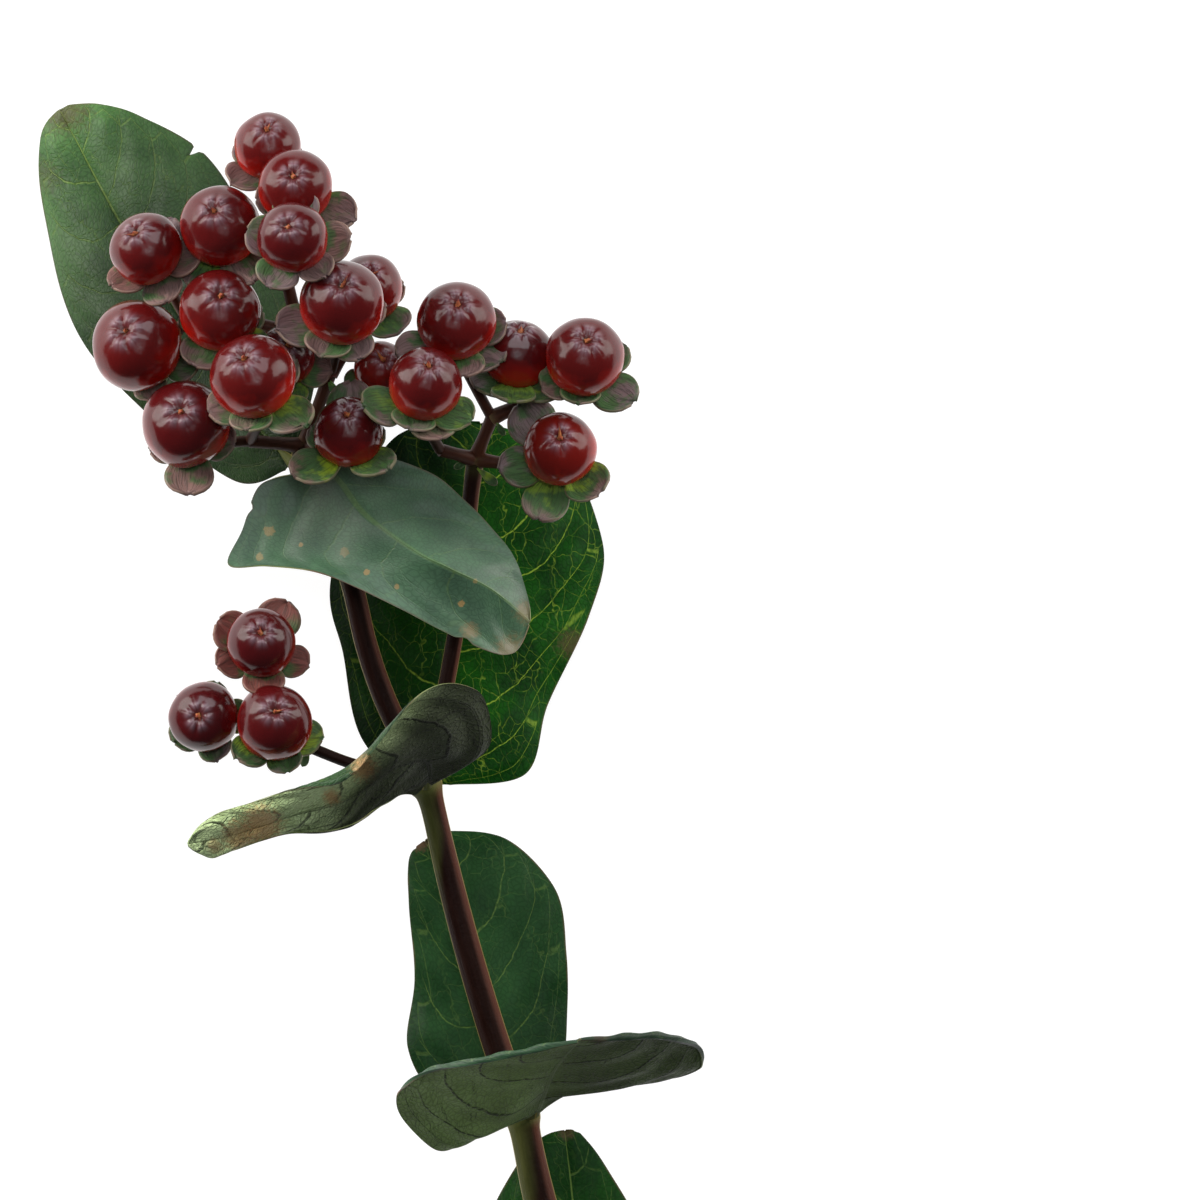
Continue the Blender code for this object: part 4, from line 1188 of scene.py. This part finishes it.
def style_shape():
    """What is left of the flower on a berry: a ribbed, slightly hooked spike, one long."""
    rings, sides = 7, 10
    bm = bmesh.new()
    before = None
    for ring in range(rings + 1):
        t = ring / rings
        radius = 0.40 * (1 - t) ** 1.15 + 0.02
        centre = Vector((0.16 * t**2, 0, t))
        verts = []
        for side in range(sides):
            turn = 2 * math.pi * side / sides
            ribbed = radius * (1.15 if side % 2 else 0.75)
            verts.append(bm.verts.new(centre + Vector((math.cos(turn), math.sin(turn), 0)) * ribbed))
        if before:
            for side in range(sides):
                further = (side + 1) % sides
                bm.faces.new((before[side], before[further], verts[further], verts[side]))
        else:
            bm.faces.new(reversed(verts))
        before = verts
    bm.faces.new(before)
    mesh = bpy.data.meshes.new("style_shape")
    bm.to_mesh(mesh)
    bm.free()
    attribute(mesh, "local", "FLOAT_VECTOR", [vert.co for vert in mesh.vertices])
    return mesh


def paint_berry():
    made, tree, shader = new_material("Berry skin", (0.15, 0.006, 0.005), IOR=1.5)
    local = stored(tree, "local")["Vector"]
    tint = stored(tree, "tint")["Fac"]
    place = object_place(tree)
    x, y, z = separate(tree, local)
    off_axis = vector_maths(tree, "LENGTH", joined(tree, x, y, 0))
    mottle = mottled(tree, place, 4.0, 0.3)
    dark = mixed(tree, tint, (0.044, 0.0028, 0.0036), (0.115, 0.005, 0.0030))
    red = mixed(tree, tint, (0.33, 0.0055, 0.0012), (0.66, 0.015, 0.003))
    blotched = times(tree, mottle["Blotches"], 0.2)
    blush = minus(tree, ramp(tree, z, 0.75, -0.55), blotched)
    colour = mixed(tree, blush, dark, red)
    crown = times(tree, ramp(tree, off_axis, 0.40, 0.10), ramp(tree, z, 0.2, 0.5))
    colour = mixed(tree, times(tree, crown, 0.6), colour, (0.070, 0.018, 0.020))
    # Painted sheen: the puffed lobes round the tip turn pale lilac grey, standing in for the light they
    # reflect
    painted_lobe_sheen = times(tree, stored(tree, "puff")["Fac"], 0.6)
    colour = mixed(tree, painted_lobe_sheen, colour, (0.23, 0.16, 0.19))
    heart = times(tree, ramp(tree, off_axis, 0.14, 0.05), ramp(tree, z, 0.2, 0.5))
    colour = mixed(tree, heart, colour, (0.035, 0.010, 0.006))
    roughness = ramp(tree, mottle["Grains"], 0.3, 0.7, 0.13, 0.19)
    dress(tree, shader, colour, bump(tree, noise(tree, place, 900, 1), 0.03), roughness)
    return made


def paint_sepal():
    made, tree, shader = new_material("Sepal", (0.08, 0.11, 0.04), Specular_IOR_Level=0.3)
    local = stored(tree, "local")["Vector"]
    tint = stored(tree, "tint")["Fac"]
    place = object_place(tree)
    t, across, margin = separate(tree, local)
    mottle = mottled(tree, place, 3.5, 0.25)
    uneven = times(tree, minus(tree, mottle["Blotches"], 0.5), 0.6)
    age = plus(tree, plus(tree, times(tree, tint, 0.85), t), uneven)
    seed = stored(tree, "seed")["Fac"]
    hue = node(tree, "ShaderNodeTexWhiteNoise", {"W": seed}, noise_dimensions="1D").outputs["Value"]
    old = mixed(tree, hue, (0.150, 0.112, 0.120), (0.175, 0.100, 0.084))
    old = mixed(tree, ramp(tree, tint, 0.93, 0.99), old, (0.15, 0.050, 0.040))
    fresh = mixed(tree, hue, (0.072, 0.17, 0.045), (0.25, 0.37, 0.026))
    base = mixed(tree, ramp(tree, age, 0.50, 1.0), fresh, (0.050, 0.110, 0.036))
    colour = mixed(tree, ramp(tree, age, 1.08, 1.6), base, old)
    lines = joined(tree, times(tree, t, 1.6), times(tree, across, 9), 0)
    lines = ramp(tree, noise(tree, lines, 2.0, 2), 0.5, 0.62)
    colour = mixed(tree, times(tree, lines, 0.45), colour, (0.030, 0.028, 0.020))
    rim = times(tree, ramp(tree, margin, 0.026, 0.008), 0.5)
    colour = mixed(tree, rim, colour, (0.20, 0.13, 0.09))
    roughness = ramp(tree, mottle["Grains"], 0.3, 0.7, 0.4, 0.55)
    dress(tree, shader, colour, bump(tree, lines, 0.06), roughness)
    return made


def paint_style():
    made, tree, shader = new_material("Dried style", (0.25, 0.07, 0.02), Roughness=0.6)
    place = object_place(tree)
    tip = separate(tree, stored(tree, "local")["Vector"])[2]
    shade = plus(tree, tip, minus(tree, noise(tree, place, 2500, 2), 0.5))
    dress(tree, shader, mixed(tree, shade, (0.36, 0.13, 0.03), (0.20, 0.02, 0.012)))
    return made


def paint_twig():
    """The thin stalks in a head: purple-brown, greener and pinker at their forks."""
    made, tree, shader = new_material("Twig", (0.06, 0.03, 0.03), Roughness=0.5, Specular_IOR_Level=0.16)
    place = object_place(tree)
    mottle = mottled(tree, place, 7.0, 0.3)
    streaks = streaks_along(tree, 90, 3.0, 3)
    purple = mixed(tree, streaks, (0.014, 0.004, 0.003), (0.070, 0.022, 0.010))
    green = mixed(tree, streaks, (0.060, 0.085, 0.012), (0.19, 0.26, 0.035))
    fresh = times(tree, minus(tree, mottle["Blotches"], 0.5), 0.5)
    fresh = plus(tree, stored(tree, "young")["Fac"], fresh)
    colour = mixed(tree, ramp(tree, fresh, 0.35, 0.85), purple, green)
    pale = mixed(tree, mottle["Blotches"], (0.17, 0.055, 0.05), (0.15, 0.14, 0.05))
    colour = mixed(tree, times(tree, stored(tree, "collar")["Fac"], 0.7), colour, pale)
    dress(tree, shader, colour, bump(tree, streaks, 0.08))
    return made


def axis_of(lean):
    return Vector((lean[0], lean[1], math.sqrt(1 - lean[0] ** 2 - lean[1] ** 2)))


def point_on(matrix, size, seed, tint):
    return {
        "place": matrix.to_translation(), "turn": matrix.to_euler(), "size": size,
        "seed": seed, "tint": tint,
    }


SEPAL_LAYER = 0.17
SEPAL_DROP = 0.86
SEPAL_TILT = 2.3


def turned(degrees, axis):
    return Matrix.Rotation(math.radians(degrees), 4, axis)


def raised(distance):
    return Matrix.Translation((0, 0, distance / 1000))


def bract_points(bracts, rng):
    points = []
    for place, degrees, long in bracts:
        here = Matrix.Translation(metres(place)) @ turned(degrees, "Z")
        tilt = turned(rng.uniform(-15, 15), "Y")
        size = (long / 1000, 0.42 * long / 1000, long / 1000)
        points.append(point_on(here @ tilt, size, rng.uniform(0, 100), 0.3))
    return points


def sepal_points(here, radius, ring, purple, rng):
    """Five sepals round the foot of a berry, in layers that overlap."""
    points = []
    for number, (degrees, length) in enumerate(ring, 1):
        layer = 2 * number % 5
        foot = here @ raised(SEPAL_LAYER * layer - SEPAL_DROP * radius) @ turned(degrees, "Z")
        tilt = turned(SEPAL_TILT * (2 - layer) - rng.uniform(-4, 6), "Y")
        width = min(SEPAL_WIDTH, 0.84 * length) * rng.uniform(0.94, 1.06)
        size = (length / 1000, width / 1000, length / 1000)
        tint = purple + rng.uniform(-0.6, 0.6) * (1 - purple)
        points.append(point_on(foot @ tilt, size, rng.uniform(0, 100), tint))
    return points


def style_points(here, radius, rng):
    """The dried styles on a berry's tip: one nearly upright, and a thinner one that leans."""
    points = []
    second = rng.uniform(0.6, 1.4) if rng.uniform() < 0.7 else rng.uniform(2.0, 2.8)
    for thick, long in ((1.0, rng.uniform(1.0, 1.4)), (0.5, second)):
        turn = Matrix.Rotation(rng.uniform(0, 2 * math.pi), 4, "Z")
        out = Matrix.Translation((0.25 * (1 - thick) / 1000, 0, 0))
        tilt = turned(rng.uniform(0, 15) + 50 * (1 - thick), "Y")
        place = here @ raised(0.80 * radius) @ turn @ out @ tilt
        wide = thick * STYLE_WIDTH / 1000
        points.append(point_on(place, (wide, wide, long / 1000), rng.uniform(0, 9), 0))
    return points


def head_stalk(start, end):
    bend = Vector(start).lerp(Vector(end), 0.5) + Vector((0, 0, 0.35))
    return smooth_path([(*start, TWIG_DIAMETER / 2), (*bend, 0.8), (*end, 0.85)], 8)


def berry_stalk(fork, middle, radius, axis):
    """A thin stalk from its fork to the foot of a berry, where it flares."""
    top = Vector(middle) - axis * radius * 0.8
    bend = Vector(middle) - axis * radius * 1.35
    flare = bend.lerp(top, 0.6)
    thin = STALK_DIAMETER / 2
    path = [(*fork, thin), (*bend, 0.95 * thin), (*flare, 1.3 * thin), (*top, 2.2 * thin)]
    return smooth_path(path, 8)


def build_head(name, head, shapes, materials, rng):
    """A head's berries, sepals, dried styles and stalks, each kind in a piece of its own."""
    forks = head["forks"]
    paths, tones = [], []
    for start, end in head["stalks"]:
        path = head_stalk(forks[start], forks[end])
        paths.append(path)
        tones += [(0.15, 1 - step / 3 if step < 3 else 0) for step in range(len(path))]
    sepals = bract_points(head["bracts"], rng)
    berries, styles = [], []
    for middle, radius, lean, fork, ring, redness, purple in head["berries"]:
        axis = axis_of(lean)
        stand = Vector((0, 0, 1)).rotation_difference(axis).to_matrix().to_4x4()
        here = Matrix.Translation(metres(middle)) @ stand
        spin = Matrix.Rotation(rng.uniform(0, 2 * math.pi), 4, "Z")
        seed = rng.uniform(0, 100)
        size = radius / 1000
        wide = size * rng.uniform(0.985, 1.015)
        berries.append(point_on(here @ spin, (wide, size, size), seed, redness))
        sepals += sepal_points(here, radius, ring, purple, rng)
        styles += style_points(here, radius, rng)
        path = berry_stalk(forks[fork], middle, radius, axis)
        paths.append(path)
        tones += [((step / len(path)) ** 1.5, 0) for step in range(len(path))]
    values = {"Sides": 18, "Ridges": 2, "Ridge height": 0.06, "Material": materials["twig"]}
    pieces = [grown(name + "_stalks", path_mesh(name, paths, tones), stalk_tree, values)]
    kinds = (
        ("fruit", berries, "berry", 0.17, 1.4), ("sepals", sepals, "sepal", 0.16, 0.9),
        ("styles", styles, "style", 0.25, 0.8),
    )
    for kind, points, key, uneven, wave in kinds:
        values = {
            "Shape": shapes[key], "Unevenness": uneven, "Wave length": wave, "Material": materials[key],
        }
        pieces.append(grown(f"{name}_{kind}", points_mesh(kind, points), copies_tree, values))
    return pieces


# Light, floor and camera


def paint_floor(centre):
    """Pale and lit from below, as a light table is: white round the object and greyer far off."""
    made, tree, shader = new_material("Floor", (0.3, 0.3, 0.3), Roughness=0.9, Emission_Strength=1)
    place = object_place(tree)
    away = vector_maths(tree, "DISTANCE", place, (centre.x, centre.y, 0))
    tone = noise(tree, place, 4, 1)
    feed(tree, shader.inputs["Base Color"], mixed(tree, tone, (0.24, 0.24, 0.24), (0.26, 0.26, 0.26)))
    glow = mixed(tree, ramp(tree, away, 0.12, 0.55), (0.84, 0.84, 0.84), (0.30, 0.30, 0.30))
    feed(tree, shader.inputs["Emission Color"], glow)
    return made


def build_floor(centre):
    bm = bmesh.new()
    bmesh.ops.create_grid(bm, x_segments=8, y_segments=8, size=2.5)
    mesh = bpy.data.meshes.new("floor")
    bm.to_mesh(mesh)
    bm.free()
    mesh.materials.append(paint_floor(centre))
    return new_object("floor", mesh)


def area_light(name, place, target, size, radiance, colour):
    """A soft light of a given brightness, that looks at its target."""
    light = bpy.data.lights.new(name, "AREA")
    light.shape = "RECTANGLE"
    light.size, light.size_y = size
    light.energy = radiance * math.pi * size[0] * size[1]
    light.color = colour
    obj = bpy.data.objects.new(name, light)
    bpy.context.scene.collection.objects.link(obj)
    obj.location = place
    obj.rotation_euler = (Vector(target) - Vector(place)).to_track_quat("-Z", "Y").to_euler()
    obj.visible_camera = False
    return obj


CAMERA_HEIGHT = 4.8
VIEW_DEPTH = 0.030
SENSOR = 36


def build_camera():
    """Straight above the middle of the photograph, far off, with a long lens."""
    centre = metres((0, 0, 0))
    camera = bpy.data.cameras.new("camera")
    camera.sensor_width = SENSOR
    view_width = PHOTO_WIDTH / PHOTO_PIXELS_PER_MM / 1000
    camera.lens = SENSOR * CAMERA_HEIGHT / view_width
    obj = bpy.data.objects.new("camera", camera)
    bpy.context.scene.collection.objects.link(obj)
    obj.location = (centre.x, centre.y, CAMERA_HEIGHT + VIEW_DEPTH)
    bpy.context.scene.camera = obj
    return centre


def softbox(name, place, target, size, radiance, colour):
    """A light that is brighter in its middle than round its edge."""
    layers = ((1.0, 1.0, 0.12), (0.78, 0.76, 0.30), (0.54, 0.52, 0.58))
    for number, (wide, high, share) in enumerate(layers, 1):
        layer = (wide * size[0], high * size[1])
        area_light(f"{name}_{number}", place, target, layer, share * radiance, colour)


def build_lights(centre):
    x, y = centre.x, centre.y
    target = (x - 0.03, y, 0.03)
    overhead = (x + 0.01, y + 0.15, 1.15)
    layers = ((0.80, 0.45), (0.44, 1.0), (0.27, 5), (0.15, 36))
    for number, (side, radiance) in enumerate(layers, 1):
        area_light(f"overhead_{number}", overhead, target, (side, side), radiance, (0.93, 0.95, 1.0))
    softbox("left", (x - 0.46, y + 0.23, 0.15), target, (0.27, 0.52), 26, (1.0, 0.96, 0.92))
    softbox("right", (x + 0.50, y + 0.25, 0.15), target, (0.27, 0.52), 20, (1.0, 0.96, 0.92))
    area_light("behind", (x, y + 0.60, 0.62), target, (0.9, 0.5), 2.8, (0.93, 0.95, 1.0))
    world = bpy.data.worlds.new("world")
    world.use_nodes = True
    world.node_tree.nodes["Background"].inputs["Color"].default_value = (0.95, 0.97, 1.0, 1)
    world.node_tree.nodes["Background"].inputs["Strength"].default_value = 0.05
    bpy.context.scene.world = world
    bpy.context.scene.view_settings.view_transform = "Standard"


def join_in(pieces, nodes):
    for piece in pieces:
        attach(piece, "root")
        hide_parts(*nodes)


def main():
    rng = np.random.default_rng(7)
    bark = paint_bark()
    join_in([build_stem(bark)], ["stem"])
    for name, leaf in LEAVES.items():
        join_in([build_leaf(name, leaf)], [name])
    shapes = {
        "berry": new_object("berry_shape", berry_shape()),
        "sepal": new_object("sepal_shape", sepal_shape()),
        "style": new_object("style_shape", style_shape()),
    }
    wall = shapes["sepal"].modifiers.new("Thickness", "SOLIDIFY")
    wall.thickness = SEPAL_THICKNESS / SEPAL_LENGTH
    wall.offset = 0
    materials = {
        "berry": paint_berry(), "sepal": paint_sepal(), "style": paint_style(), "twig": paint_twig(),
    }
    for name, head in HEADS.items():
        stalks, fruit, sepals, styles = build_head(name, head, shapes, materials, rng)
        join_in([fruit], [name])
        join_in([sepals], [name])
        join_in([stalks, styles], [name])
    for shape in shapes.values():
        bpy.data.objects.remove(shape)
    centre = build_camera()
    build_floor(centre)
    build_lights(centre)


main()
